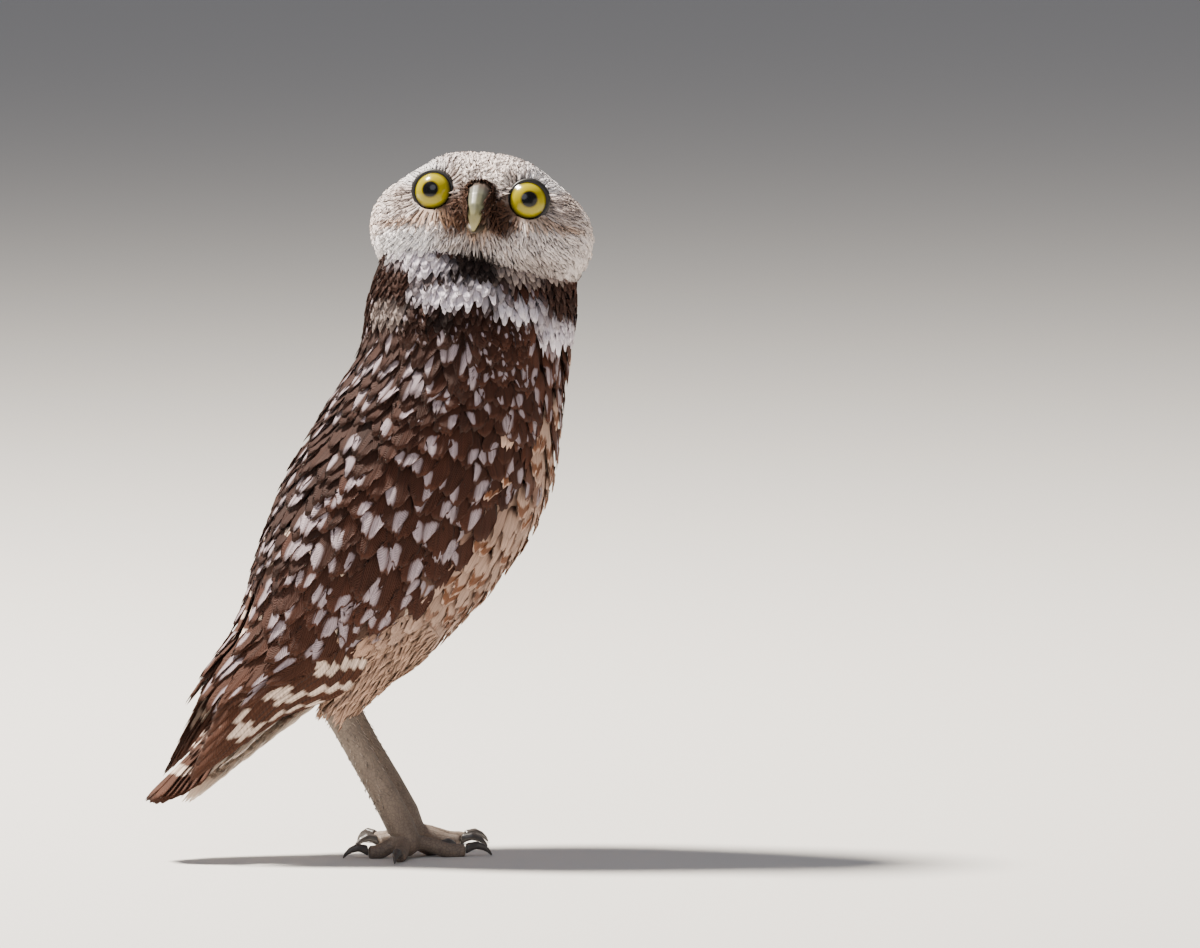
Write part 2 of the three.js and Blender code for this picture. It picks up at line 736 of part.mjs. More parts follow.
const headRoom = skull(GAP).transform(headGroup.matrix.toArray());
const { difference } = wasm.Manifold;
add(owl, "neck", largest(trunk(0, COLLAR, 5).subtract(headRoom)), FACE_FEATHER);
add(owl, "torso", largest(difference([trunk(COLLAR + 0.02, VENT, 14), ...rooms])), PALE_FEATHER);
const torsoRoom = trunk(COLLAR, VENT + 0.025, 14, GAP);
add(owl, "tail", largest(difference([tail(), torsoRoom, ...rooms])), BROWN_FEATHER);

const bodyRoom = trunk(COLLAR, TRUNK.length - 1, 14, 2 * GAP);
for (const [name, side] of Object.entries(SIDES)) {
  const { thigh, tarsus } = leg(side);
  add(owl, `wing_${name}`, wing(side), SPOTTED_FEATHER);
  add(owl, `thigh_${name}`, largest(difference([thigh, bodyRoom, ...rooms])), PALE_FEATHER);
  add(owl, `tarsus_${name}`, largest(tarsus), SHANK_FEATHER);
  add(owl, `foot_${name}`, foot(side), TOE_SKIN);
  for (const toe of TOES) add(owl, `claw_${toe.name}_${name}`, claw(side, toe), CLAW_HORN);
}

export default owl;
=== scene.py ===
# %% [markdown]
# # A burrowing owl, feather by feather
# The owl stands on both feet and looks back over its right shoulder with its face lifted.
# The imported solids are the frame. Over it come one skin, and the coat as thin closed vanes
# that follow the lie of the feathers: mantle, breast, belly, wings, tail, head and legs.

import math

import bpy
import numpy as np
from mathutils import Matrix, Vector
from mathutils.kdtree import KDTree


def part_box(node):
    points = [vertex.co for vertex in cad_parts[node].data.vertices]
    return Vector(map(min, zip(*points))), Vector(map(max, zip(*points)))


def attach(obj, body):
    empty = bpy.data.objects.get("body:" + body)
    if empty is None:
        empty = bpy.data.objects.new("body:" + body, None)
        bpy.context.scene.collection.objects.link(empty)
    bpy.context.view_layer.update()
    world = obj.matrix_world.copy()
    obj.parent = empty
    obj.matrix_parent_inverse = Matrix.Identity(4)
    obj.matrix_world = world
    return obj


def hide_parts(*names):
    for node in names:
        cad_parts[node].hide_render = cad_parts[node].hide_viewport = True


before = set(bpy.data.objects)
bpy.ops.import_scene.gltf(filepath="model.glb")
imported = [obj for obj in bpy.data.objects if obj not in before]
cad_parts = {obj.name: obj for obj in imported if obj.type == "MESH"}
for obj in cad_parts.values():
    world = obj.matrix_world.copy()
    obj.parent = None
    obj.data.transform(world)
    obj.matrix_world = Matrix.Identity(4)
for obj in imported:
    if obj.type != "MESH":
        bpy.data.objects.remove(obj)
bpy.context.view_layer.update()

MM = 0.001
AHEAD = 5.7  # how far ahead of the legs' reference line the origin lies, mm
SIDES = {"left": 1, "right": -1}


def placed(points):
    """The scene's metres for points in the design's millimetres."""
    return np.asarray(points) * MM + np.array([AHEAD * MM, 0, 0])


# %% [markdown]
# ## The body's outline
# The same few sections that shaped the solids place every feather here. Each station has the
# back's x and z, the breast's x and z, and the half width, in millimetres. A smooth curve runs
# through each column, so a place on the body is a station and an angle round from the breast.

# %% Sections of the body and of the folded wings
TRUNK = [
    [2, 191, 60, 191, 21],
    [-3, 174, 61.5, 173.5, 31],
    [-6, 157, 57.4, 143, 36],
    [-18.4, 138, 51.6, 110, 39],
    [-30, 119, 35.4, 84.8, 38.5],
    [-37.6, 101, 17, 66.6, 35],
    [-42.8, 85, 1.6, 54.8, 29],
    [-41.7, 68.4, -17.8, 49.8, 19],
    [-49.4, 56.4, -36.5, 43.5, 10.5],
]
WINGS = TRUNK[:7] + [
    [-48, 72, -6.5, 44.4, 25],
    [-56, 60, -30.1, 37.8, 21],
    [-65, 46, -47.6, 25.8, 18],
    [-74.5, 29, -60, 20, 15],
]
# Degrees round from the breast of the folded wing's lower and upper edge, at each station.
WING_EDGES = [
    [64, 112], [64, 118], [62, 131], [64, 147], [65, 159], [74, 168],
    [76, 172], [75, 173], [75, 171], [74, 169], [75, 164],
]


def through(values):
    """A smooth curve through the rows of a table, straight on past both ends."""
    v = np.array(values, float)
    p = np.vstack([2 * v[0] - v[1], v, 2 * v[-1] - v[-2]])
    last = len(v) - 1

    def at(u):
        u = np.asarray(u, float)
        inside = np.clip(u, 0, last)
        i = np.minimum(inside.astype(int), last - 1)
        w = (inside - i)[..., None]
        a, b, c, d = p[i], p[i + 1], p[i + 2], p[i + 3]
        m, n = (c - a) / 2, (d - b) / 2
        cubic = b + m * w + (3 * (c - b) - 2 * m - n) * w**2 + (2 * (b - c) + m + n) * w**3
        ends = np.where((u < 0)[..., None], v[1] - v[0], v[-1] - v[-2])
        return cubic + ends * (u - inside)[..., None]

    return at


trunk_at, wings_at, edges_at = through(TRUNK), through(WINGS), through(WING_EDGES)


def outline(section_at):
    """Turns (station, angle, lift) into points; a negative angle is the owl's right side."""

    def surface(station, angle, lift):
        row = section_at(station)
        centre, arm = (row[..., :2] + row[..., 2:4]) / 2, (row[..., 2:4] - row[..., :2]) / 2
        half = row[..., 4]
        c, s = np.cos(angle), np.sin(angle)
        size = (arm**2).sum(-1)
        normal = np.stack([arm[..., 0] * c / size, s / half, arm[..., 1] * c / size], -1)
        normal /= np.linalg.norm(normal, axis=-1, keepdims=True)
        spot = np.stack(
            [centre[..., 0] + arm[..., 0] * c, half * s, centre[..., 1] + arm[..., 1] * c], -1
        )
        return spot + normal * np.asarray(lift)[..., None]

    return surface


trunk, wing_hull = outline(trunk_at), outline(wings_at)

# %% [markdown]
# ## The head's form
# A rounded, slightly square block, wide at the cheeks and flat on top, with low bumps for the
# brows, cheeks and chin. It is a distance from the head's middle for each direction, so a
# feather's place is two angles: away from the bill's axis, and round it.

# %% The head's form
HEAD_AT = np.array([32.6, 0, 196.3])
HEAD_TURN, HEAD_LIFT, HEAD_ROLL = (math.radians(d) for d in (-112, 28, -6.3))
EYE_AT = np.array([16.3, 14.1, 2.3])
EYE_LOOK = np.array([0.94, 0.2, -0.27])
EYE_LOOK = EYE_LOOK / np.linalg.norm(EYE_LOOK)
EYE_RADIUS, LID_RADIUS = 7.55, 6.2
HEAD = np.array(
    Matrix.Rotation(HEAD_TURN, 3, "Z")
    @ Matrix.Rotation(-HEAD_LIFT, 3, "Y")
    @ Matrix.Rotation(HEAD_ROLL, 3, "X")
)
HEAD_LENGTH, HEAD_HEIGHT, HEAD_WIDTH = (27, 23), (25, 22), 34.5  # halves: back, front; low, top
SQUARE = 2.2  # 2 is an ellipsoid, more is squarer
BUMPS = [
    # direction (forward, left, up), height in mm, spread in radians
    ([0.72, 0.5, 0.52], 1.6, 0.3),  # brow
    ([0.8, 0.6, 0.02], -0.7, 0.22),  # eye hollow
    ([1, 0, -0.1], 1.6, 0.3),  # root of the bill
    ([0.62, 0.62, -0.48], 2.0, 0.42),  # cheek
    ([0.72, 0, -0.7], 1.5, 0.3),  # chin
]


def smooth_step(x, low, high):
    w = np.clip((x - low) / (high - low), 0, 1)
    return w * w * (3 - 2 * w)


def head_radius(n):
    """The head's radius along unit directions n, whose parts are forward, left and up."""
    (back, front), (low, top) = HEAD_LENGTH, HEAD_HEIGHT
    length = back + (front - back) * smooth_step(n[..., 0], -0.3, 0.5)
    height = low + (top - low) * smooth_step(n[..., 2], -0.3, 0.3)
    lifted = n[..., 0] * math.sin(HEAD_LIFT) + n[..., 2] * math.cos(HEAD_LIFT)
    width = HEAD_WIDTH * (1 - 0.24 * smooth_step(lifted, -0.1, 0.85))
    parts = np.stack([n[..., 0] / length, n[..., 1] / width, n[..., 2] / height], -1)
    radius = (np.abs(parts) ** SQUARE).sum(-1) ** (-1 / SQUARE)
    for place, size, spread in BUMPS:
        for side in (1, -1) if place[1] else (1,):
            axis = np.array([place[0], side * place[1], place[2]])
            axis = axis / np.linalg.norm(axis)
            radius += size * np.exp(-((np.arccos(np.clip(n @ axis, -1, 1)) / spread) ** 2))
    return radius


def head_direction(away, turn):
    """Unit directions by their angle away from the bill's axis and their turn round it."""
    s = np.sin(away)
    return np.stack([np.cos(away), s * np.sin(turn), s * np.cos(turn)], -1)


def head(away, turn, lift):
    n = head_direction(away, turn)
    return HEAD_AT + (n * (head_radius(n) + lift)[..., None]) @ HEAD.T


def in_head(point):
    return HEAD_AT + np.asarray(point, float) @ HEAD.T


expected = 1000 * placed(in_head(EYE_AT))[0]
found = 1000 * sum(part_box("eye_left")[i].x for i in (0, 1)) / 2
print("left eye, expected and found x, mm:", round(expected, 2), round(found, 2))

# %% [markdown]
# ## Colours
# Feather colour comes from pigment in the barbs: warm brown where it is dense, white where
# there is none. Every colour is an sRGB hex value that one function turns to linear.


# %% Colour values
def linear(code):
    srgb = np.array([int(code[i : i + 2], 16) / 255 for i in (1, 3, 5)])
    return np.where(srgb < 0.04045, srgb / 12.92, ((srgb + 0.055) / 1.055) ** 2.4)


MANTLE_BROWN = linear("#301a12")
WING_BROWN = linear("#381e14")
FLIGHT_BROWN = linear("#44281b")
BREAST_BROWN = linear("#492719")
SPOT_WHITE = linear("#9d8f95")
BELLY_WHITE = linear("#b09281")
BAR_BROWN = linear("#6b4229")
CREAM = linear("#ba9781")
UNDERTAIL_CREAM = linear("#ecdccf")
FACE_WHITE = linear("#e9ddd9")
# Face white made brighter as painted light where the key falls: the brows and the left cheek.
WHITE_WITH_PAINTED_LIGHT = linear("#fbf7f8")
FACE_GREY = linear("#b5a59e")
BROW_BUFF = linear("#f0e3db")
# The crown's buff, made paler by painted light where the key falls on top of the head.
CROWN_BUFF_AND_PAINTED_LIGHT = linear("#d9c6bb")
# Grey-brown of the streaks in the brows, also used as painted shade in the crease under the bill.
STREAK_AND_SHADE_BROWN = linear("#7b665b")
LORE_BROWN = linear("#4d3325")
CHEEK_BUFF = linear("#b08a6c")
# Near black: painted shade of the hollow under the chin and of a gap on the mantle.
THROAT_PAINTED_SHADE = linear("#1d1210")
COLLAR_BROWN = linear("#3f2820")
THROAT_WHITE = linear("#e2dae3")
TAIL_BAR = linear("#d6bfae")


def blend(a, b, share):
    return a + (b - a) * np.clip(share, 0, 1)[..., None]


def patch(x, y, at, size, soft=0.35):
    """1 inside an ellipse at a place, falling softly to 0 round it."""
    d = np.hypot((x - at[0]) / size[0], (y - at[1]) / size[1])
    return 1 - smooth_step(d, 1 - soft, 1 + soft)


print("mantle and streak brown, linear:", MANTLE_BROWN.round(3), STREAK_AND_SHADE_BROWN.round(3))

# %% [markdown]
# ## Vanes
# A real contour feather is a flat vane with a rounded, slightly frayed tip. Modelling each by
# hand would take days, so one grid plane is the pattern: its rows run from root to tip and its
# columns across. Code bends a copy of it onto the body at each root, and closes it with an
# inner face, so that each vane is a thin solid.

# %% The vane pattern
rng = np.random.default_rng(20)


def vane_pattern(columns, rows):
    """Makes one grid plane with Blender's own tool and returns its points and faces."""
    bpy.ops.object.select_all(action="DESELECT")
    bpy.ops.mesh.primitive_grid_add(x_subdivisions=columns, y_subdivisions=rows, size=2)
    sheet = bpy.context.object
    points = np.array([v.co[:2] for v in sheet.data.vertices])
    faces = np.array([list(f.vertices) for f in sheet.data.polygons])
    edge = (np.abs(points) > 0.999).any(1)
    bpy.data.meshes.remove(sheet.data)
    across, along = points[:, 0], (points[:, 1] + 1) / 2
    inner = np.where(edge, np.arange(len(points)), 0)
    inner[~edge] = len(points) + np.arange((~edge).sum())
    both = np.vstack([faces, inner[faces][:, ::-1]])
    keep = np.concatenate([np.arange(len(points)), np.nonzero(~edge)[0]])
    face_side = np.concatenate([np.where(edge, 0.0, 1.0), -np.ones((~edge).sum())])
    column = np.rint((across[keep] + 1) / 2 * columns).astype(int)
    return {"t": across[keep], "s": along[keep], "side": face_side, "faces": both,
            "column": column, "columns": columns}


HAIR_VANE = vane_pattern(2, 4)
SMALL_VANE = vane_pattern(4, 4)
BODY_VANE = vane_pattern(9, 5)
WING_VANE = vane_pattern(13, 7)
LONG_VANE = vane_pattern(8, 14)
print("faces in a wing covert's vane:", len(WING_VANE["faces"]))

coat_roots = []  # root places and colours, which the skin takes its own colour from


# %% Lay vanes on a surface
SHOWN = 0.72  # the share of a vane's length at which its visible part lies


def scales(surface, a, b):
    """How many mm one unit of each of the surface's two numbers covers at a place."""
    step, zero = 0.01, np.zeros(len(a))
    along = surface(a + step, b, zero) - surface(a - step, b, zero)
    across = surface(a, b + step, zero) - surface(a, b - step, zero)
    return (np.linalg.norm(v, axis=-1) / (2 * step) for v in (along, across))


def shown_at(surface, roots, length, turn=0.0):
    """The place that a vane's outer, visible part covers."""
    a, b = roots.T
    scale_a, scale_b = scales(surface, a, b)
    out = SHOWN * length
    return a + out * np.cos(turn) / scale_a, b + out * np.sin(turn) / scale_b


def lay(name, surface, pattern, roots, unwrap, ground, mark=CREAM, marks=np.zeros(3), **look):
    """Lays one vane at each root (along, across) of a surface and joins them into a piece.

    length, width, thick and the lifts over the surface at root and tip are in mm. turn is the
    lie's angle from straight along, tilt how much one edge stands up, fray how ragged the tip
    is, and ridge how much the barbs stand up in clumps. round and taper shape the tip.
    """
    count = len(roots)
    a, b = roots.T
    look = {"fray": 0.1, "tilt": 0, "ridge": 0, "round": 0.34, "taper": 0.45} | look
    per = {k: np.broadcast_to(np.asarray(v, float), (count,))[:, None] for k, v in look.items()}
    scale_a, scale_b = (scale[:, None] for scale in scales(surface, a, b))
    t, s, column = pattern["t"][None], pattern["s"][None], pattern["column"]
    notch = np.abs(rng.normal(0, 1, (count, pattern["columns"] + 1)))[:, column]
    ends = 1 - per["round"] * np.abs(t) ** 2.2 - per["fray"] * notch
    along = s * (1 + (ends - 1) * s**1.5) * per["length"]
    spread = 0.5 + 0.5 * np.sin(np.minimum(1, s * 1.5) * np.pi / 2)
    spread = spread * np.sqrt(1 - per["taper"] * s**4)
    across = t * spread * per["width"] / 2
    c, d = np.cos(per["turn"]), np.sin(per["turn"])
    lift = per["root_lift"] + (per["tip_lift"] - per["root_lift"]) * s**0.8
    lift = lift + per["tilt"] * t + 0.06 * per["width"] * (0.35 - t**2)
    clumps = rng.normal(0, look["ridge"], (count, pattern["columns"] + 1))
    lift = lift + clumps[:, column] * s + pattern["side"][None] * per["thick"] / 2
    points = surface(a[:, None] + (along * c - across * d) / scale_a,
                     b[:, None] + (along * d + across * c) / scale_b, lift)
    make_coat(name, points, pattern, unwrap(a, b), ground, mark, marks)
    coat_roots.append((surface(a, b, np.zeros(count)), np.broadcast_to(ground, (count, 3))))


def make_coat(name, points, pattern, base, ground, mark, marks):
    """Joins vanes into one mesh, with their maps and attributes, as one new object."""
    count, size = points.shape[:2]
    faces = pattern["faces"][None] + (np.arange(count) * size)[:, None, None]
    mesh = bpy.data.meshes.new(name)
    mesh.from_pydata(placed(points.reshape(-1, 3)).tolist(), [], faces.reshape(-1, 4).tolist())
    corner = np.empty(len(mesh.loops), int)
    mesh.loops.foreach_get("vertex_index", corner)
    t, s = np.tile(pattern["t"], count), np.tile(pattern["s"], count)
    home = np.repeat(np.clip(base, 0.003, 0.997), size, axis=0)
    maps = {
        "Vane": np.stack([t / 2 + 0.5, s], -1),
        "OFBake": home + 0.003 * np.stack([t / 2, s - 0.5], -1),  # a small patch at the root
    }
    for title, spots in maps.items():
        layer = mesh.uv_layers.new(name=title)
        layer.data.foreach_set("uv", spots[corner].ravel())
    chance = np.repeat(rng.random((count, 1)), size, axis=0)
    for title, value in (("ground", ground), ("mark", mark), ("marks", marks)):
        layer = mesh.color_attributes.new(title, "FLOAT_COLOR", "POINT")
        rgb = np.repeat(np.broadcast_to(value, (count, 3)), size, axis=0)
        layer.data.foreach_set("color", np.hstack([rgb, chance]).ravel())
    mesh.polygons.foreach_set("use_smooth", np.ones(len(mesh.polygons), bool))
    bpy.context.collection.objects.link(bpy.data.objects.new(name, mesh))
    print(name, count, "vanes,", 2 * len(mesh.polygons), "triangles")


def scatter(a_range, b_range, spacing_a, spacing_b, jitter=0.28):
    """Roots in staggered rows; b_range and the spacings may change with the row's place."""
    roots, a, odd = [], a_range[0], False
    while a < a_range[1]:
        (low, high), step, gap = (
            v(a) if callable(v) else v for v in (b_range, spacing_a, spacing_b))
        count = max(2, round((high - low) / gap))
        b = low + (np.arange(count) + (0.25 if odd else 0.75)) * (high - low) / count
        row = np.stack([np.full(count, a), b], -1)
        row += rng.uniform(-jitter, jitter, row.shape) * [step, gap]
        roots.append(row)
        a += step
        odd = not odd
    return np.vstack(roots)


def varied(base, count, share=0.08):
    """One colour a feather, a little lighter or darker each."""
    return np.asarray(base) * (1 + rng.normal(0, share, (count, 1)))


# %% [markdown]
# ## The feather's finish
# Keratin barbs, laid side by side at an angle to the shaft. That gives a soft, dry sheen and
# fine slanting lines. Spots and bars are in the vane itself, so they are drawn in its own map:
# across from 0 to 1 and root to tip from 0 to 1.


# %% The feather material
def wire(node, sockets):
    """Fills a node's sockets with values, or links them to other nodes."""
    for socket, value in sockets.items():
        if isinstance(value, bpy.types.Node):
            value = value.outputs[0]
        if isinstance(value, bpy.types.NodeSocket):
            node.id_data.links.new(value, node.inputs[socket])
        else:
            node.inputs[socket].default_value = value


def finish(name):
    """A new material, the function that adds a node to it, and its surface node."""
    made = bpy.data.materials.new(name)
    made.use_nodes = True

    def put(kind, *values, stops=(), **settings):
        """Adds a node, such as "Math ADD"; values fill its sockets in order or by a dict."""
        kind, _, operation = kind.partition(" ")
        node = made.node_tree.nodes.new("ShaderNode" + kind)
        if operation:
            node.operation = operation
        for field, value in settings.items():
            setattr(node, field, value)
        by_name = values and isinstance(values[0], dict)
        wire(node, values[0] if by_name else dict(enumerate(values)))
        for place, code in stops:
            node.color_ramp.elements.new(place).color = (*linear(code), 1)
        for end in (0, -1) if stops else ():
            node.color_ramp.elements.remove(node.color_ramp.elements[end])
        return node

    return made, put, made.node_tree.nodes["Principled BSDF"]


def feather_finish(name, barred=False):
    """Dry and matt, with slanting barb lines, a paler fringe and a darker shaft."""
    made, put, surface = finish(name)
    vane = put("SeparateXYZ", put("UVMap", uv_map="Vane"))
    t, s = put("Math MULTIPLY_ADD", vane, 2, -1), vane.outputs[1]
    across = put("Math ABSOLUTE", t)
    ground, mark, marks = (
        put("Attribute", attribute_name=title) for title in ("ground", "mark", "marks"))
    chance = marks.outputs["Alpha"]
    marks = put("SeparateColor", marks)
    # Barbs clump into fine streaks that run out along the vane, different on each feather.
    place = put("CombineXYZ", put("Math MULTIPLY_ADD", t, 7, put("Math MULTIPLY", chance, 91)),
                put("Math MULTIPLY", s, 6 if barred else 1.8), put("Math MULTIPLY", chance, 23))
    barbs = put("TexNoise", {"Vector": place, "Scale": 1.0, "Detail": 4, "Roughness": 0.65})
    streak = put("Math MULTIPLY_ADD", barbs, 2, -1)
    # Barb lines: real ones are 0.3 mm apart, too fine to show, so these are some 1 mm apart.
    lean, pitch = (-0.10, 420) if barred else (-0.45, 110)
    lines = put("Math SINE", put("Math MULTIPLY", put("Math MULTIPLY_ADD", across, lean, s), pitch))
    if barred:
        # Pale bars, some 12 mm apart, that stop short of the shaft and of the tip.
        level = put("Math MULTIPLY_ADD", across, -0.04, s)
        level = put("Math MULTIPLY_ADD", chance, 0.05, level)
        level = put("Math SINE", put("Math MULTIPLY_ADD", level, 36, -1.2))
        level = put("Math MULTIPLY_ADD", streak, 0.5, level)
        bar = put("Math MULTIPLY", put("MapRange", level, 0.1, 0.65), put("MapRange", s, 0.9, 0.84))
        clear = put("MapRange", across, 0.05, 0.16)
        mask = put("Math MULTIPLY", put("Math MULTIPLY", bar, clear), marks)
    else:
        # One rounded spot on each half of the vane, and a chevron bar near its tip.
        spots = []
        for side, channel in ((1, 0), (-1, 1)):
            size = marks.outputs[channel]
            x = put("Math DIVIDE", put("Math ADD", t, -0.42 * side),
                    put("Math MULTIPLY_ADD", size, 0.40, 0.001))
            y = put("Math DIVIDE", put("Math SUBTRACT", s, 0.755),
                    put("Math MULTIPLY_ADD", size, 0.215, 0.001))
            y = put("Math MULTIPLY", y, y)
            square = put("Math MULTIPLY_ADD", x, x, put("Math MULTIPLY", y, y))
            spots.append(put("MapRange", put("Math MULTIPLY_ADD", streak, 1.7, square), 1.45, 0.35))
        chevron = put("Math MULTIPLY_ADD", across, 0.14, s)
        band = put("Math ABSOLUTE", put("Math SUBTRACT", chevron, 0.82))
        wide = put("Math MULTIPLY_ADD", streak, 0.09, band)
        bar = put("Math MULTIPLY", put("MapRange", wide, 0.17, 0.10), marks.outputs[2])
        mask = put("Math MAXIMUM", put("Math MAXIMUM", *spots), bar)
    mask = put("Math MULTIPLY", mask, put("Math MULTIPLY_ADD", streak, 0.35, 0.92))
    colour = put("Mix", {0: put("MapRange", mask), 6: ground, 7: mark}, data_type="RGBA")
    shaft = put("MapRange", across, 0.09, 0.02)
    fringe = put("MapRange", s, 0.86, 1.0)
    grain = put("Math MULTIPLY_ADD", lines, 0.07, 0.86)
    for part, share in ((streak, 0.75), (shaft, -0.16), (fringe, 0.30), (s, 0.22)):
        grain = put("Math MULTIPLY_ADD", part, share, grain)
    height = put("Math MULTIPLY_ADD", streak, 2.5, lines)
    wire(surface, {
        "Base Color": put("VectorMath SCALE", {0: colour.outputs[2], 3: grain}),
        "Normal": put("Bump", {"Strength": 0.5, "Distance": 0.2 * MM, "Height": height}),
        "Roughness": 0.7, "Specular IOR Level": 0.15,
        "Sheen Weight": 0.03, "Sheen Roughness": 0.5,
    })
    return made


CONTOUR = feather_finish("keratin contour feather")
FLIGHT = feather_finish("keratin flight feather", barred=True)
print("nodes in the contour feather's material:", len(CONTOUR.node_tree.nodes))

# %% [markdown]
# ## Body feathers
# The mantle is brown with white spots. It runs into a brown, white-spotted breast, and that
# into a white belly with brown bars and an unmarked cream vent. The throat has a white band
# under a hollow painted near black as shade, with brown patches beside it.


# %% Markings of the face and throat, with painted light and shade among them
# Right, up and towards the viewer, seen from the side that the face is on.
VIEW_RIGHT = np.array([0.9397, -0.342, 0])
VIEW_UP = np.array([0.024, 0.066, 0.998])
VIEW_BACK = np.array([-0.3412, -0.9374, 0.0698])


def seen_at(points):
    """Where a point shows from the side that the face is on: across and up, in mm."""
    return points @ VIEW_RIGHT, points @ VIEW_UP


# Soft ellipses: across, up, half width and half height in mm, colour, strength. Later ones
# lie over earlier ones. They show only on the side that the face is on.
FACE_PATCHES = [
    (11, 214, 9, 5, WHITE_WITH_PAINTED_LIGHT, 1.0),  # brows, white with painted light on them
    (52, 211, 9, 5.5, WHITE_WITH_PAINTED_LIGHT, 1.0),
    (32, 213, 11, 6, BROW_BUFF, 0.8),  # forehead
    (22.5, 212, 2.6, 4.2, STREAK_AND_SHADE_BROWN, 0.75),  # dark streaks inside the brows
    (40, 210.5, 2.6, 4.2, STREAK_AND_SHADE_BROWN, 0.75),
    (5.5, 204, 4.5, 5, FACE_GREY, 0.9),  # grey round the outer eye
    (57, 201, 5, 6, FACE_GREY, 0.9),
    (22.2, 200.2, 5.8, 7.0, LORE_BROWN, 1.0),  # bristly lores beside and over the bill
    (37.0, 199.0, 5.8, 7.0, LORE_BROWN, 1.0),
    (29.3, 207.3, 7.0, 4.0, LORE_BROWN, 0.95),
    (29.4, 194.6, 7.0, 2.6, LORE_BROWN, 0.75),
    (9, 197.2, 12, 1.5, CHEEK_BUFF, 0.7),  # buff line under the eyes
    (52, 194.6, 11, 1.7, CHEEK_BUFF, 0.7),
    (29.3, 192.6, 6, 2.0, CHEEK_BUFF, 0.6),
    (6, 190.5, 10, 4.6, WHITE_WITH_PAINTED_LIGHT, 1.0),  # cheeks: the left one white with painted light, the right one face white
    (54, 187.5, 9, 6, FACE_WHITE, 0.9),
    (29.6, 189.6, 13, 0.9, STREAK_AND_SHADE_BROWN, 0.6),  # painted shade of the crease under the bill
    (27, 183.2, 9.5, 5.0, THROAT_PAINTED_SHADE, 1.0),  # painted shade of the open hollow under the chin
    (30, 179.4, 6.5, 3.6, THROAT_PAINTED_SHADE, 1.0),
    (10.5, 183.8, 9.5, 4.2, THROAT_WHITE, 0.9),  # white corners of the jaw
    (46, 182.0, 10, 5.0, FACE_GREY, 0.7),
    (2.8, 178.5, 6.2, 6.2, COLLAR_BROWN, 1.0),  # collar, left
    (23, 174.3, 13.5, 4.0, THROAT_WHITE, 1.0),  # throat band
    (54.5, 172.8, 7, 6.2, COLLAR_BROWN, 1.0),  # collar, right
    (42.5, 168.6, 7.5, 3.6, THROAT_WHITE, 1.0),  # band runs on to the breast
    (54.5, 162.6, 7, 4.4, THROAT_WHITE, 1.0),
    (0.5, 168.5, 6, 4.0, FACE_GREY, 0.6),
    (19, 166.4, 4.6, 2.8, THROAT_PAINTED_SHADE, 0.9),  # painted shade in a ruffled gap on the upper mantle
]


def paint_patches(ground, across, up, where):
    """Lays the patches over the ground colours, and says how much they cover."""
    cover = np.zeros(len(ground))
    for x, y, half, high, colour, strength in FACE_PATCHES:
        share = strength * patch(across, up, (x, y), (half, high)) * where
        ground = blend(ground, colour, share)
        cover = np.maximum(cover, share)
    return ground, cover


# %% Markings of the body
def body_marks(station, angle):
    """Ground colour, mark colour and (left spot, right spot, bar) for feathers there."""
    count = len(station)
    deg = np.degrees(np.abs(angle))
    across, up = seen_at(trunk(station, angle, np.zeros(count)))
    near = (angle < 0) & (deg > 15)
    low = station + (60 - deg) / 60
    belly = smooth_step(low, 2.9, 3.9) * (1 - smooth_step(deg, 66, 84))
    mixed = smooth_step(low, 1.9, 3.2) * (1 - smooth_step(deg, 66, 84))
    vent = smooth_step(station + (40 - deg) / 130, 5.2, 6.0) * (1 - smooth_step(deg, 95, 120))
    ground = blend(np.broadcast_to(MANTLE_BROWN, (count, 3)), BREAST_BROWN,
                   1 - smooth_step(deg, 60, 95))
    pale = np.maximum(belly, (rng.uniform(0, 1, count) < 0.75 * mixed) * 1.0)
    ground = blend(ground, BELLY_WHITE, pale)
    ground = blend(ground, CREAM, vent)
    mark = blend(np.broadcast_to(SPOT_WHITE, (count, 3)), BAR_BROWN, (pale > 0.5) * 1.0)
    size = rng.uniform(0.7, 1.2, count)
    side = rng.uniform(0, 1, count)
    small = 1 - 0.5 * (1 - smooth_step(station, 0.9, 2.2)) * smooth_step(deg, 60, 100)
    rare = 0.42 + 0.5 * (1 - smooth_step(deg, 70, 110))
    dots = size * small * (pale < 0.5) * (vent < 0.35) * (rng.uniform(0, 1, count) < rare)
    left, right = dots * (side < 0.62), dots * (side > 0.38)
    bars = np.where(rng.uniform(0, 1, count) < 0.6 + 0.2 * (1 - belly), 1.0, 0.0)
    bars = bars * (pale > 0.5) * (1 - smooth_step(station + deg / 90, 5.3, 6.0)) * (vent < 0.4)
    ground, cover = paint_patches(ground, across, up, near)
    keep = cover < 0.35
    return ground, mark, np.stack([left * keep, right * keep, bars * keep], -1)


# %% Lay the body feathers
SKIN_DEPTH = 2.4  # how far under the outline the skin lies, and the vanes are rooted, mm
ROUND = (-np.pi, np.pi)


def body_unwrap(a, b):
    return np.stack([b / (2 * np.pi) + 0.5, 1 - (a + 0.5) / 10], -1)


def under_wing(roots, margin):
    """Roots that the folded wing hides, by their share from its lower to its upper edge."""
    low, high = np.moveaxis(np.radians(edges_at(roots[:, 0])), -1, 0)
    share = (np.abs(roots[:, 1]) - low) / (high - low)
    return (share > margin) & (share < 1 - margin) & (roots[:, 0] > 2.1)


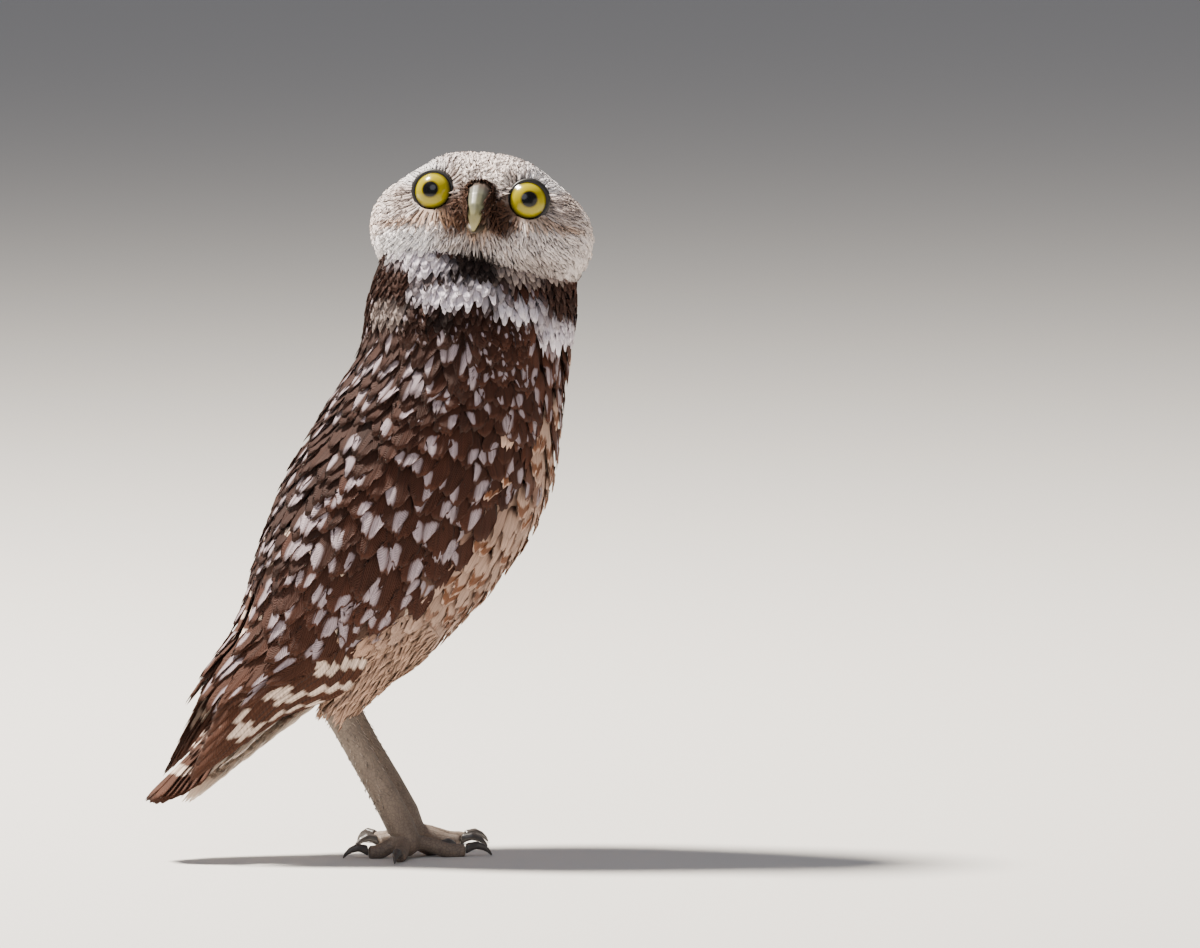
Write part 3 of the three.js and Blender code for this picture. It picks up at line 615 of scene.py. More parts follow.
def lay_body(name, roots, length, width, pattern=BODY_VANE, lift=0.6, fray=0.06):
    count = len(roots)
    ground, mark, marks = body_marks(*shown_at(trunk, roots, length))
    lay(
        name, trunk, pattern, roots,
        length=length * rng.uniform(0.88, 1.12, count), width=width,
        tilt=rng.normal(0, 0.2, count), turn=rng.normal(0, 0.1, count), root_lift=-SKIN_DEPTH,
        tip_lift=lift + rng.uniform(-0.2, 0.3, count), thick=0.24, fray=fray, ridge=0.05,
        ground=varied(1, count) * ground, mark=mark, marks=marks, unwrap=body_unwrap,
    )


lay_body("neck_feathers", scatter((-0.25, 1.25), ROUND, 0.13, 0.085), 9.5, 3.6, SMALL_VANE, 0.7, 0.1)
mantle_roots = scatter((0.95, 8.2), (0.5 * np.pi, 1.5 * np.pi), 0.26,
                       lambda a: 0.15 if a < 5 else 0.2 if a < 7 else 0.3)
mantle_roots[:, 1] -= 2 * np.pi * (mantle_roots[:, 1] > np.pi)
mantle_roots = mantle_roots[~under_wing(mantle_roots, 0.2)]
lay_body("mantle_feathers", mantle_roots, 17, 8.5)
breast_roots = scatter((0.95, 5.7), (-0.5 * np.pi, 0.5 * np.pi), 0.25, 0.15)
breast_roots = breast_roots[~under_wing(breast_roots, 0.3)]
lay_body("breast_feathers", breast_roots, 15, 7.5, lift=0.3, fray=0.09)
vent_roots = scatter((5.0, 7.9), (-0.6 * np.pi, 0.6 * np.pi), 0.13,
                     lambda a: 0.085 + 0.02 * (a - 4.5) ** 1.5)
vent_roots = vent_roots[~under_wing(vent_roots, 0.4)]
lay_body("vent_feathers", vent_roots, 11, 2.6, HAIR_VANE, 0.3, 0.12)

# %% [markdown]
# ## Wings
# Coverts lie in rows like roof tiles over the arm, and the flight feathers come out from under
# them, stacked with the innermost on top. Most coverts carry round white spots, and the
# flight feathers carry pale bars.


# %% Wing coverts and flight feathers
def wing_angle(station, share):
    low, high = np.moveaxis(np.radians(edges_at(station)), -1, 0)
    start = np.clip((2.1 - station) / 0.55, 0, 1)
    spread = np.sqrt(1 - 0.85 * start**2)
    return (low + high) / 2 + spread * (high - low) * (0.5 - share)


def wing_unwrap(a, b):
    return np.stack([np.abs(b) / np.pi * 0.9 + 0.05, 1 - a / 11], -1)


COVERT_ROWS = [
    # station, feathers, reach from the upper edge, length and width in mm, size of the spots
    (1.22, 8, 1.0, 9, 6.5, 0.4),
    (1.44, 9, 1.0, 10, 7, 0.5),
    (1.68, 10, 1.0, 11, 7.5, 0.6),
    (1.94, 10, 1.0, 12.5, 8, 0.7),
    (2.22, 10, 1.0, 14, 8.5, 0.85),
    (2.52, 10, 1.0, 15.5, 9, 0.9),
    (2.84, 10, 1.0, 17, 10, 0.95),
    (3.18, 10, 1.0, 18.5, 10.5, 1.0),
    (3.54, 10, 1.0, 20, 11, 1.0),
    (3.92, 10, 1.0, 21, 11.5, 1.0),
    (4.32, 10, 1.0, 22, 11.5, 1.0),
    (4.74, 9, 0.95, 23, 11.5, 0.95),
    (5.18, 8, 0.88, 24, 11.5, 0.95),
    (5.64, 7, 0.78, 24, 11.5, 0.9),
    (6.12, 6, 0.7, 24, 11.5, 0.85),
    (6.62, 5, 0.62, 24, 11, 0.8),
    (7.14, 4, 0.55, 23, 10, 0.6),
]
# Where each flight feather ends: its station, and its share from the upper to the lower edge.
FLIGHT_TIPS = [7.9, 8.1, 8.3, 8.5, 8.7, 8.9, 9.15, 9.4, 9.7, 10.0, 10.05, 9.9, 9.65, 9.3, 8.9, 8.4]
FLIGHT_SHARES = [0.08, 0.12, 0.17, 0.22, 0.27, 0.32, 0.38, 0.44, 0.5, 0.56, 0.62, 0.68, 0.74,
                 0.8, 0.86, 0.93]
ARM_END, FLIGHT_HALF = 4.7, 4.6  # the station they start at, and half a feather's width in mm


def lay_wing(name, side):
    """Covers one folded wing, and then stacks its flight feathers one under the other."""

    def surface(station, angle, lift):
        return wing_hull(station, np.clip(angle, -3.12, 3.12), lift)

    rows, looks = [], []
    for station, number, reach, length, width, spot in COVERT_ROWS:
        share = reach * (np.arange(number) + 0.5 + rng.uniform(-0.2, 0.2, number)) / number
        along = station + rng.uniform(-0.09, 0.09, number)
        rows.append(np.stack([along, share], -1))
        looks.append(np.tile([length, width, spot], (number, 1)))
    rows, looks = np.vstack(rows), np.vstack(looks)
    count = len(rows)
    # Feathers hang more steeply than the wing slopes, most of all along its lower edge.
    fan = (0.08 + 0.42 * rows[:, 1]) * (1 - 0.75 * smooth_step(rows[:, 0], 3.6, 6.2))
    spot = looks[:, 2] * rng.uniform(0.7, 1.15, count) * (1 - 0.3 * (rows[:, 1] > 0.86))
    pick = rng.uniform(0, 1, count)
    spot = spot * (rng.uniform(0, 1, count) < 0.78)
    marks = np.stack([spot * (pick < 0.6), spot * (pick > 0.4), 0 * pick], -1)
    ground = varied(WING_BROWN, count, 0.12)
    ground = blend(ground, FLIGHT_BROWN, 0.8 * smooth_step(rows[:, 0], 5, 7))
    # A tip hangs lower than its root, so the root moves up by as much of the 54 mm wide wing.
    rows[:, 1] -= 0.9 * rows[:, 1] * looks[:, 0] * np.sin(fan) / 54
    roots = np.stack([rows[:, 0], side * wing_angle(rows[:, 0], rows[:, 1])], -1)
    lay(
        name + "_coverts", surface, WING_VANE, roots,
        length=looks[:, 0] * rng.uniform(0.9, 1.1, count), width=looks[:, 1],
        turn=-side * (fan + rng.normal(0, 0.08, count)), root_lift=-2.2,
        tip_lift=0.8 + rng.uniform(-0.3, 0.4, count), thick=0.26, fray=0.06, ridge=0.09,
        tilt=-side * (0.2 + rng.normal(0, 0.08, count)),
        ground=ground, mark=SPOT_WHITE, marks=marks, unwrap=wing_unwrap,
    )
    # Flight feathers run from the arm's end to their own tips, each on a slightly bent line.
    number = len(FLIGHT_TIPS)
    order = np.arange(number)[:, None]
    t, s = LONG_VANE["t"][None], LONG_VANE["s"][None]
    tip, tip_share = np.array(FLIGHT_TIPS)[:, None], np.array(FLIGHT_SHARES)[:, None]
    ragged = np.abs(rng.normal(0, 0.012, (number, LONG_VANE["columns"] + 1)))
    ends = 1 - 0.05 * np.abs(t) ** 2.5 - ragged[:, LONG_VANE["column"]] * s**6
    station = ARM_END + (tip - ARM_END) * s * ends
    root = (order + 0.6) / number
    share = root + (tip_share - root) * s**1.3
    half = FLIGHT_HALF * np.minimum(1, 0.62 + 0.9 * s) * np.sqrt(1 - 0.85 * s**7)
    across = t * half
    middle = wings_at(station)
    arm = np.linalg.norm(middle[..., 2:4] - middle[..., :2], axis=-1) / 2
    angle = wing_angle(station, share)
    round_mm = np.hypot(arm * np.sin(angle), middle[..., 4] * np.cos(angle))
    angle = np.minimum(angle - across / round_mm, np.pi - 0.7 / middle[..., 4])
    above = (FLIGHT_HALF - across) / (3.0 - 0.9 * s)  # how many feathers lie over this one
    lift = -0.5 - 0.62 * np.minimum(order, above) + 0.15 * LONG_VANE["side"]
    points = wing_hull(station, side * angle, lift + 0.25 * (1 - np.abs(t)))
    base = wing_unwrap(np.full(number, 6.0), np.pi * order[:, 0] / number)
    colours = varied(FLIGHT_BROWN, number, 0.08)
    make_coat(name + "_flight", points, LONG_VANE, base, colours, TAIL_BAR, np.ones((number, 3)))
    coat_roots.append((points[:, 0], colours))


for name, side in SIDES.items():
    lay_wing("wing_" + name, side)

# %% [markdown]
# ## Tail
# Twelve feathers, the middle pair on top, brown with buff bars. Cream coverts fill the wedge
# beneath them, and a few brown ones cover their roots. Each pair is laid a little lower and
# farther out than the one before, as a folded tail lies.

# %% Tail feathers and their coverts
TAIL_ROOT, TAIL_TIP = np.array([-34.0, 0, 61]), np.array([-77.0, 0, 17])
tail_length = np.linalg.norm(TAIL_TIP - TAIL_ROOT)
tail_axis = (TAIL_TIP - TAIL_ROOT) / tail_length
tail_top = np.array([tail_axis[2], 0, -tail_axis[0]])


def tail_surface(along, across, lift):
    """Places by mm along the tail, across it and over it."""
    parts = zip((along, across, lift), (tail_axis, np.array([0, 1, 0]), tail_top))
    return TAIL_ROOT + sum(np.asarray(mm)[..., None] * axis for mm, axis in parts)


def tail_unwrap(a, b):
    return np.stack([0.5 + b / 40, a / 70], -1)


def tail_vane(pair, side):
    """One tail feather: pair 0 is the middle one, and side is 1 on the left."""
    t, s = LONG_VANE["t"], LONG_VANE["s"]
    outer = 6.2 + 1.25 * pair
    inner = side * (outer - 8.6) * 0.9
    spread = 0.5 + 0.2 * np.minimum(1, s / 0.7) + 0.3 * smooth_step(s, 0.78, 0.97)
    low, high = side * inner * spread * 0.6, outer * spread
    across = side * (low + (high - low) * (t + 1) / 2)
    ragged = np.abs(rng.normal(0, 0.012, LONG_VANE["columns"] + 1))[LONG_VANE["column"]]
    round_tip = 1 - 0.05 * np.abs(t) ** 2.4 - ragged * s**6
    along = tail_length * (1.0 - 0.007 * pair**2) * s * round_tip
    lift = 0.5 + 1.9 * s - 0.8 * pair - 0.12 * np.abs(across) - 0.2 * (side < 0)
    return tail_surface(along, across, lift + 0.15 * LONG_VANE["side"] + 0.2 * (1 - np.abs(t)))


points = np.array([tail_vane(pair, side) for pair in range(6) for side in (1, -1)])
count = len(points)
base = np.stack([0.1 + 0.8 * np.arange(count) / count, np.full(count, 0.5)], -1)
colours = varied(FLIGHT_BROWN, count, 0.08)
make_coat("tail_feathers", points, LONG_VANE, base, colours, TAIL_BAR, np.ones((count, 3)))
coat_roots.append((points[:, 0], colours))

under = np.vstack([
    scatter((-4, 43), lambda a: (-8.5 + a / 12, 8.5 - a / 12), 2.8, 2.2) for _ in range(2)])
count = len(under)
depth = -14.0 + 7 * np.clip(under[:, 0] / 45, 0, 1)
depth[count // 2:] += 3.4
lay(
    "undertail_coverts", tail_surface, BODY_VANE, under,
    length=13, width=5, turn=-under[:, 1] * 0.02 + rng.normal(0, 0.08, count),
    root_lift=depth, tip_lift=depth + 0.2, thick=0.25, tilt=rng.normal(0, 0.2, count),
    ground=varied(UNDERTAIL_CREAM, count, 0.05), unwrap=tail_unwrap,
)
upper = scatter((-12, 26), lambda a: (-9 + a / 8, 9 - a / 8), 4.0, 3.4)
count = len(upper)
lay(
    "uppertail_coverts", tail_surface, BODY_VANE, upper,
    length=18, width=8, turn=rng.normal(0, 0.08, count),
    root_lift=0.6, tip_lift=2.6 - 0.02 * upper[:, 0], thick=0.25, fray=0.07, ridge=0.12,
    tilt=rng.normal(0, 0.2, count), ground=varied(FLIGHT_BROWN, count, 0.08), mark=TAIL_BAR,
    marks=0.6 * np.stack([rng.uniform(0, 1, count) < 0.5, rng.uniform(0, 1, count) < 0.5,
                          np.zeros(count)], -1), unwrap=tail_unwrap,
)

# %% [markdown]
# ## Head feathers
# Small feathers radiate from the bill and round each eye. White brows and cheeks, with painted
# light on the brows and left cheek, a buff and brown crown with pale specks and painted light,
# and dark bristly lores beside the bill.


# %% Lie and markings of the head
def eye_direction(side):
    place = EYE_AT * [1, side, 1] + 6 * EYE_LOOK * [1, side, 1]
    return place / np.linalg.norm(place)


def head_lie(away, turn):
    """The angle that turns the lie from straight back to away from the nearer eye."""
    n = head_direction(away, turn)
    step = 1e-3
    back = (head_direction(away + step, turn) - n) / step
    sideways = (head_direction(away, turn + step) - n) / step
    sideways /= np.linalg.norm(sideways, axis=-1, keepdims=True) + 1e-9
    lie = np.zeros(len(n))
    for side in SIDES.values():
        eye = eye_direction(side)
        from_eye = n - eye
        apart = np.linalg.norm(from_eye, axis=-1)
        weight = np.exp(-((apart / 0.42) ** 4))
        out_a, out_b = (from_eye * back).sum(-1), (from_eye * sideways).sum(-1)
        turned = np.arctan2(out_b * weight, out_a * weight + (1 - weight) * 0.4)
        lie = np.where(apart < 0.75, turned, lie)
    return lie


def head_marks(n):
    """Ground, mark and marks of head feathers that show along unit directions n."""
    f, u = n[:, 0], n[:, 2]
    count = len(n)
    across, up = seen_at(HEAD_AT + (n * head_radius(n)[:, None]) @ HEAD.T)
    facing = n @ (HEAD.T @ VIEW_BACK) > -0.05
    # The top of the head takes the crown's buff together with its painted light.
    crown = smooth_step(u - 0.55 * f, 0.34, 0.75)
    rear = (1 - smooth_step(f, -0.35, 0.1)) * smooth_step(u, -0.75, -0.2)
    ground = np.broadcast_to(FACE_WHITE, (count, 3))
    ground = blend(ground, CROWN_BUFF_AND_PAINTED_LIGHT, crown)
    ground = blend(ground, MANTLE_BROWN, rear)
    ground = blend(ground, BROW_BUFF, 0.5 * patch(f, u, (-0.05, 0), (0.2, 0.5)))
    ground, cover = paint_patches(ground, across, up, facing)
    size = 0.8 * np.maximum(crown * (up < 216), rear) * (1 - cover)
    size = size * (rng.uniform(0, 1, count) < 0.5)
    marks = np.stack([size, size * (rng.uniform(0, 1, count) < 0.5), 0 * size], -1)
    pick = rng.uniform(0, 1, count)
    speck = facing & (pick < 0.07) & (up > 215) & (across > 15) & (across < 52)
    ground = np.where(speck[:, None], COLLAR_BROWN, ground)
    fleck = facing & (pick > 0.94) & (up < 214) & (cover < 0.5)
    ground = np.where(fleck[:, None], ground * [0.7, 0.64, 0.6], ground)
    return ground, marks


def head_unwrap(a, b):
    return np.stack([b / (2 * np.pi) % 1.0, a / np.pi], -1)


def lay_head(name, roots, size, lift, fray=0.09, pattern=SMALL_VANE):
    """Lays head feathers, and leaves out those in the eyes, on the bill or inside the neck."""
    n = head_direction(roots[:, 0], roots[:, 1])
    place = n * head_radius(n)[:, None]
    clear = np.ones(len(roots), bool)
    for side in SIDES.values():
        look = EYE_LOOK * [1, side, 1]
        from_eye = place - EYE_AT * [1, side, 1]
        apart = np.linalg.norm(from_eye - (from_eye @ look)[:, None] * look, axis=-1)
        clear &= ~((apart < 6.5) & (n @ look > 0.3))
    clear &= ~((np.abs(place[:, 1]) < 3.0) & (place[:, 2] > -9.5) & (place[:, 2] < 3.2)
               & (place[:, 0] > 0))
    hidden = (in_head(place)[:, 2] < 174) & (n[:, 0] < 0.3)
    roots, n = roots[clear & ~hidden], n[clear & ~hidden]
    count = len(roots)
    lie = head_lie(roots[:, 0], roots[:, 1]) + rng.normal(0, 0.13, count)
    ground, marks = head_marks(head_direction(*shown_at(head, roots, size[0], lie)))
    lay(
        name, head, pattern, roots,
        length=size[0] * rng.uniform(0.8, 1.2, count), width=size[1], turn=lie,
        root_lift=-0.6, tip_lift=lift + rng.uniform(-0.2, 0.35, count), thick=0.2, fray=fray,
        tilt=rng.normal(0, 0.1, count), taper=0.75,
        ground=varied(1, count) * ground, mark=SPOT_WHITE, marks=marks, unwrap=head_unwrap,
    )


def around_bill(a_range, along, across, radius):
    """Roots over the head, with spacings in mm at a distance from its middle."""
    return scatter(a_range, ROUND, along / radius, lambda a: across / (radius * np.sin(a)))


lay_head("head_feathers", around_bill((1.28, 2.98), 2.0, 2.0, 28), (7.5, 3.0), 0.8)
lay_head("face_feathers", around_bill((0.14, 1.42), 1.15, 1.0, 26), (5.8, 1.25), 0.35, 0.1, HAIR_VANE)

# %% [markdown]
# ## Bristles over the bill's base
# Dark bristles grow forward from the lores and hide the bill's sides, so that only its ridge
# and tip show.

# %% Bill bristles
RIDGE = through([[18.5, 1, 4.6], [23.6, -0.4, 4.3], [26.6, -3.6, 3.7], [28.2, -8, 2.9],
                 [28.1, -11.4, 1.8], [27.3, -14.6, 0.4]])


def bill_surface(along, angle, lift):
    """Places round the bill: along its ridge from base to tip, and round from its top."""
    row = RIDGE(along)
    ahead = RIDGE(np.asarray(along) + 0.05) - row
    size = np.hypot(ahead[..., 0], ahead[..., 1])
    out = np.asarray(row[..., 2] + lift)
    up_x, up_z = -ahead[..., 1] / size, ahead[..., 0] / size
    c, s = np.cos(angle) * out, np.sin(angle) * out
    return in_head(np.stack([row[..., 0] + up_x * c, s, row[..., 1] + up_z * c], -1))


def spread_over(count, along, angle):
    return np.stack([rng.uniform(*along, count), rng.uniform(*angle, count)], -1)


# Both sides of the bill, and the top of its root.
roots = np.vstack([spread_over(620, (-0.7, 3.1), (0.7, 2.4)) * [1, side] for side in SIDES.values()]
                  + [spread_over(170, (-0.7, 0.5), (-1, 1))])
roots = roots[(np.abs(roots[:, 1]) > 1.0) | (roots[:, 0] < 0.9)]
count = len(roots)
lay(
    "bill_bristles", bill_surface, HAIR_VANE, roots,
    length=rng.uniform(3.0, 5.5, count), width=0.55, turn=rng.normal(0, 0.2, count),
    root_lift=0.0, tip_lift=rng.uniform(0.3, 1.3, count), thick=0.15, taper=0.9,
    ground=varied(LORE_BROWN * 1.1, count, 0.25), unwrap=head_unwrap,
)

# %% [markdown]
# ## Legs
# Short cream feathers clothe the thigh down to the hock. Below it the long shank is bare but
# for sparse bristles. A leg is a straight line with a radius, so a place on it is a length
# along that line and an angle round it.

# %% Thigh feathers
LEG_SPREAD = 17
# Knee, hock and ankle as x and z, in mm; the left leg is set ahead of the right.
LEGS = {1: [(8.5, 77), (-8.3, 47), (13.3, 8.6)], -1: [(1, 77), (-21.8, 47), (-0.2, 8.6)]}
THIGH_TOP, THIGH_LOW, THIGH_LENGTH, THIGH_FEATHERED = 14.5, 6.0, 33, 36
SHANK_RADIUS = 4.35


def thigh_radius(along):
    share = np.clip(along / THIGH_LENGTH, 0, 1.25) ** 0.85
    return THIGH_TOP + (THIGH_LOW - THIGH_TOP) * share


def leg_surface(side, joint, radius):
    """Places round a leg, from one of its joints to the next."""
    top, low = (np.array([x, side * LEG_SPREAD, z]) for x, z in LEGS[side][joint:joint + 2])
    axis = (low - top) / np.linalg.norm(low - top)
    out = np.array([0.0, side, 0.0])
    third = np.cross(axis, out)

    def surface(along, angle, lift):
        along = np.asarray(along)
        c, s = np.cos(angle)[..., None], np.sin(angle)[..., None]
        far = (radius(along) + lift)[..., None]
        return top + along[..., None] * axis + far * (out * c + third * s)

    return surface


def leg_unwrap(a, b):
    return np.stack([b / (2 * np.pi) % 1.0, a / 50], -1)


for name, side in SIDES.items():
    roots = scatter((1, THIGH_FEATHERED), ROUND, 1.9, lambda a: 0.17 + 0.006 * a)
    count = len(roots)
    lay(
        "thigh_feathers_" + name, leg_surface(side, 0, thigh_radius), HAIR_VANE, roots,
        length=9, width=2.2, turn=rng.normal(0, 0.13, count), root_lift=-1.0,
        tip_lift=0.4 + rng.uniform(-0.2, 0.4, count), thick=0.2, fray=0.12,
        tilt=rng.normal(0, 0.12, count), ground=varied(CREAM, count, 0.08), unwrap=leg_unwrap,
    )

# %% [markdown]
# ## Bill, shanks, feet and claws
# These bare parts are hard or scaly and keep their own forms. They start as copies of their
# solids, which are remeshed finely and lose their facets to a smoothing modifier.


# %% Smooth copies of solids
def solo(thing):
    bpy.ops.object.select_all(action="DESELECT")
    thing.select_set(True)
    bpy.context.view_layer.objects.active = thing


def apply(thing, kind, **settings):
    solo(thing)
    modifier = thing.modifiers.new(kind.title(), kind)
    for field, value in settings.items():
        setattr(modifier, field, value)
    bpy.ops.object.modifier_apply(modifier=modifier.name)


def smooth_copy(name, nodes, voxel, rounds):
    """Joins copies of solids into one new piece without facets; voxel is in mm."""
    copies = []
    for node in nodes:
        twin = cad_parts[node].copy()
        twin.data = twin.data.copy()
        for key in list(twin.keys()):
            del twin[key]
        twin.parent = None
        twin.data.materials.clear()
        bpy.context.collection.objects.link(twin)
        copies.append(twin)
    solo(copies[0])
    for twin in copies:
        twin.select_set(True)
    if len(copies) > 1:
        bpy.ops.object.join()
    made = bpy.context.object
    made.name = made.data.name = name
    bpy.ops.object.mode_set(mode="EDIT")
    bpy.ops.mesh.select_all(action="SELECT")
    bpy.ops.mesh.remove_doubles(threshold=1e-6)
    bpy.ops.object.mode_set(mode="OBJECT")
    apply(made, "REMESH", mode="VOXEL", voxel_size=voxel * MM)
    apply(made, "SMOOTH", factor=0.5, iterations=rounds)
    solo(made)
    bpy.ops.object.shade_smooth()
    print(name, len(made.data.polygons), "faces")


TOES = ["inner", "middle", "outer", "hind"]
smooth_copy("bill_top", ["bill_upper"], 0.3, 5)
smooth_copy("bill_bottom", ["bill_lower"], 0.3, 4)
for side in SIDES:
    smooth_copy("shank_" + side, ["tarsus_" + side, "foot_" + side], 0.45, 6)
    for toe in TOES:
        smooth_copy(f"talon_{toe}_{side}", [f"claw_{toe}_{side}"], 0.22, 3)

# %% [markdown]
# ## One skin
# The skin under the coat is one smooth body of head, neck, trunk and thighs. Spheres are drawn
# out into these forms, which overlap, so joining and remeshing them leaves no seam. It lies
# under the outline by the coat's depth. The eyes sit in sockets that are cut from it.


# %% One skin
def sphere(name, around, along):
    """A primitive sphere round the origin, and where its vertices are."""
    bpy.ops.object.select_all(action="DESELECT")
    bpy.ops.mesh.primitive_uv_sphere_add(segments=around, ring_count=along, radius=1)
    made = bpy.context.object
    made.name = made.data.name = name
    return made, np.array([v.co for v in made.data.vertices])


def form(name, around, along, ring):
    """A sphere whose rings are moved to ring(share along, angle, share out)."""
    made, co = sphere(name, around, along)
    ring_at = np.arccos(np.clip(-co[:, 2], -1, 1)) / np.pi * along
    share = np.clip((ring_at - 1) / (along - 2), 0, 1)
    out = np.where((ring_at < 0.5) | (ring_at > along - 0.5), 0.0, 1.0)
    spots = placed(ring(share, np.arctan2(co[:, 1], co[:, 0]), out))
    made.data.vertices.foreach_set("co", spots.ravel())
    return made


def trunk_ring(share, angle, out):
    station = 8.1 * share
    row = trunk_at(station)
    centre = np.stack(
        [(row[:, 0] + row[:, 2]) / 2, 0 * share, (row[:, 1] + row[:, 3]) / 2], -1)
    edge = trunk(station, angle, np.full(len(share), -SKIN_DEPTH))
    return centre + (edge - centre) * out[:, None]


def thigh_ring(side):
    surface = leg_surface(side, 0, thigh_radius)

    def ring(share, angle, out):
        along = THIGH_FEATHERED * share
        edge = surface(along, angle, np.full(len(share), -0.9))
        centre = surface(along, angle, -thigh_radius(along))
        return centre + (edge - centre) * out[:, None]

    return ring


skull, co = sphere("skull", 64, 40)
co /= np.linalg.norm(co, axis=1, keepdims=True)
spots = placed(HEAD_AT + (co * (head_radius(co) - 0.5)[:, None]) @ HEAD.T)
skull.data.vertices.foreach_set("co", spots.ravel())
forms = [skull, form("trunk_form", 64, 40, trunk_ring)]
forms += [form(f"thigh_form_{name}", 32, 12, thigh_ring(side)) for name, side in SIDES.items()]
for each in forms:
    solo(each)
    bpy.ops.object.mode_set(mode="EDIT")
    bpy.ops.mesh.select_all(action="SELECT")
    bpy.ops.mesh.normals_make_consistent(inside=False)
    bpy.ops.object.mode_set(mode="OBJECT")
solo(skull)
for each in forms:
    each.select_set(True)
bpy.ops.object.join()
skin = bpy.context.object
skin.name = skin.data.name = "skin"
apply(skin, "REMESH", mode="VOXEL", voxel_size=1.1 * MM)


# %% Sockets in the skin for the eyes
def eye_place(side):
    """An eye's middle, where it looks, and the turn that takes Z there."""
    look = Vector(HEAD @ (EYE_LOOK * [1, side, 1]))
    return Vector(placed(in_head(EYE_AT * [1, side, 1]))), look, look.to_track_quat("Z", "Y")


for side in SIDES.values():
    at, look, turn = eye_place(side)
    bpy.ops.object.select_all(action="DESELECT")
    bpy.ops.mesh.primitive_cylinder_add(
        vertices=48, radius=6.3 * MM, depth=14 * MM, location=at + look * 7 * MM,
        rotation=turn.to_euler())
    hole = bpy.context.object
    apply(skin, "BOOLEAN", operation="DIFFERENCE", object=hole, solver="EXACT")
    bpy.data.objects.remove(hole)
apply(skin, "SMOOTH", factor=0.5, iterations=2)
solo(skin)
bpy.ops.object.shade_smooth()
print("skin", len(skin.data.polygons), "faces")

# %% The skin takes the colour of the coat over it
places = placed(np.vstack([p for p, _ in coat_roots]))
shades = np.vstack([c for _, c in coat_roots])
nearby = KDTree(len(places))
for i, place in enumerate(places):
    nearby.insert(place, i)
nearby.balance()
layer = skin.data.color_attributes.new("ground", "FLOAT_COLOR", "POINT")
nearest = [nearby.find(v.co)[1] for v in skin.data.vertices]
rgb = np.hstack([shades[nearest] * 0.75, np.ones((len(nearest), 1))])
layer.data.foreach_set("color", rgb.ravel())

# %% [markdown]
# ## Eyes and lids
# An owl's eye is a fixed tube with a bulging clear front over a yellow iris. A ball stands for
# it, with its pole at the pupil so that its own map runs from there back, and a slight bulge.
# The lid is a bare black ring, thick above and on the outer side, which shades the eye; its extra
# black there is painted shade of the brow.


# %% Eyes and lids
def make_eye(side):
    """A ball with its pole at the pupil, drawn out a little there."""
    at, _, turn = eye_place(side)
    bpy.ops.object.select_all(action="DESELECT")
    bpy.ops.mesh.primitive_uv_sphere_add(segments=64, ring_count=48, radius=EYE_RADIUS * MM,
                                         location=at, rotation=turn.to_euler())
    for v in bpy.context.object.data.vertices:
        share = max(0, (v.co.z / (EYE_RADIUS * MM) - 0.72) / 0.28)
        v.co.z += 0.5 * MM * share**0.7


def make_lid(side):
    """A ring round the opening, thick above and on the outer side as painted shade of the brow."""
    at, look, turn = eye_place(side)
    bpy.ops.object.select_all(action="DESELECT")
    bpy.ops.mesh.primitive_torus_add(
        major_radius=LID_RADIUS * MM, minor_radius=1.0 * MM, major_segments=72,
        minor_segments=16, location=at + look * 4.3 * MM, rotation=turn.to_euler())
    brow_shade_side = turn.inverted() @ Vector(HEAD @ np.array([0, 0.7 * side, 0.7]))
    for v in bpy.context.object.data.vertices:
        out = Vector((v.co.x, v.co.y, 0)).normalized()
        middle = out * LID_RADIUS * MM
        v.co = middle + (v.co - middle) * (0.52 + 0.5 * max(-0.45, out.dot(brow_shade_side)))


for make, title in ((make_eye, "eyeball_"), (make_lid, "lid_")):
    for name, side in SIDES.items():
        make(side)
        made = bpy.context.object
        made.name = made.data.name = title + name
        bpy.ops.object.transform_apply(location=True, rotation=True, scale=True)
        bpy.ops.object.shade_smooth()
        print(made.name, len(made.data.polygons), "faces")

# %% [markdown]
# ## Finishes of the bare parts
# All grew in place, so none has a seam or a coating: a wet cornea, keratin horn on the bill
# and claws, and small soft scales on the shanks and toes. Each is drawn from noise at the size
# of its own grain, because an even colour would look moulded.


# %% Eye material
def across(mm):
    """The scale at which a pattern repeats about every so many millimetres."""
    return 1000 / mm


def eye_finish():
    """Deep yellow with fine rays and a darker rim round a black pupil, under a wet shine."""
    made, put, surface = finish("moist cornea over a yellow iris")
    own = put("UVMap", uv_map="UVMap")
    away = put("Math MULTIPLY", put("Math SUBTRACT", 1, put("SeparateXYZ", own).outputs[1]), 180)
    rays = put("TexNoise", {"Vector": own, "Scale": 60, "Detail": 3})
    share = put("Math DIVIDE", put("Math MULTIPLY_ADD", rays, 1.6, away), 90)
    stops = ((0.0, "#050505"), (0.205, "#070605"), (0.222, "#4f4404"), (0.27, "#93850a"),
             (0.44, "#a0930a"), (0.53, "#5f5706"), (0.56, "#15110c"))
    wire(surface, {"Base Color": put("ValToRGB", share, stops=stops), "Roughness": 0.22,
                   "IOR": 1.3, "Coat Weight": 0.35, "Coat Roughness": 0.02})
    return made


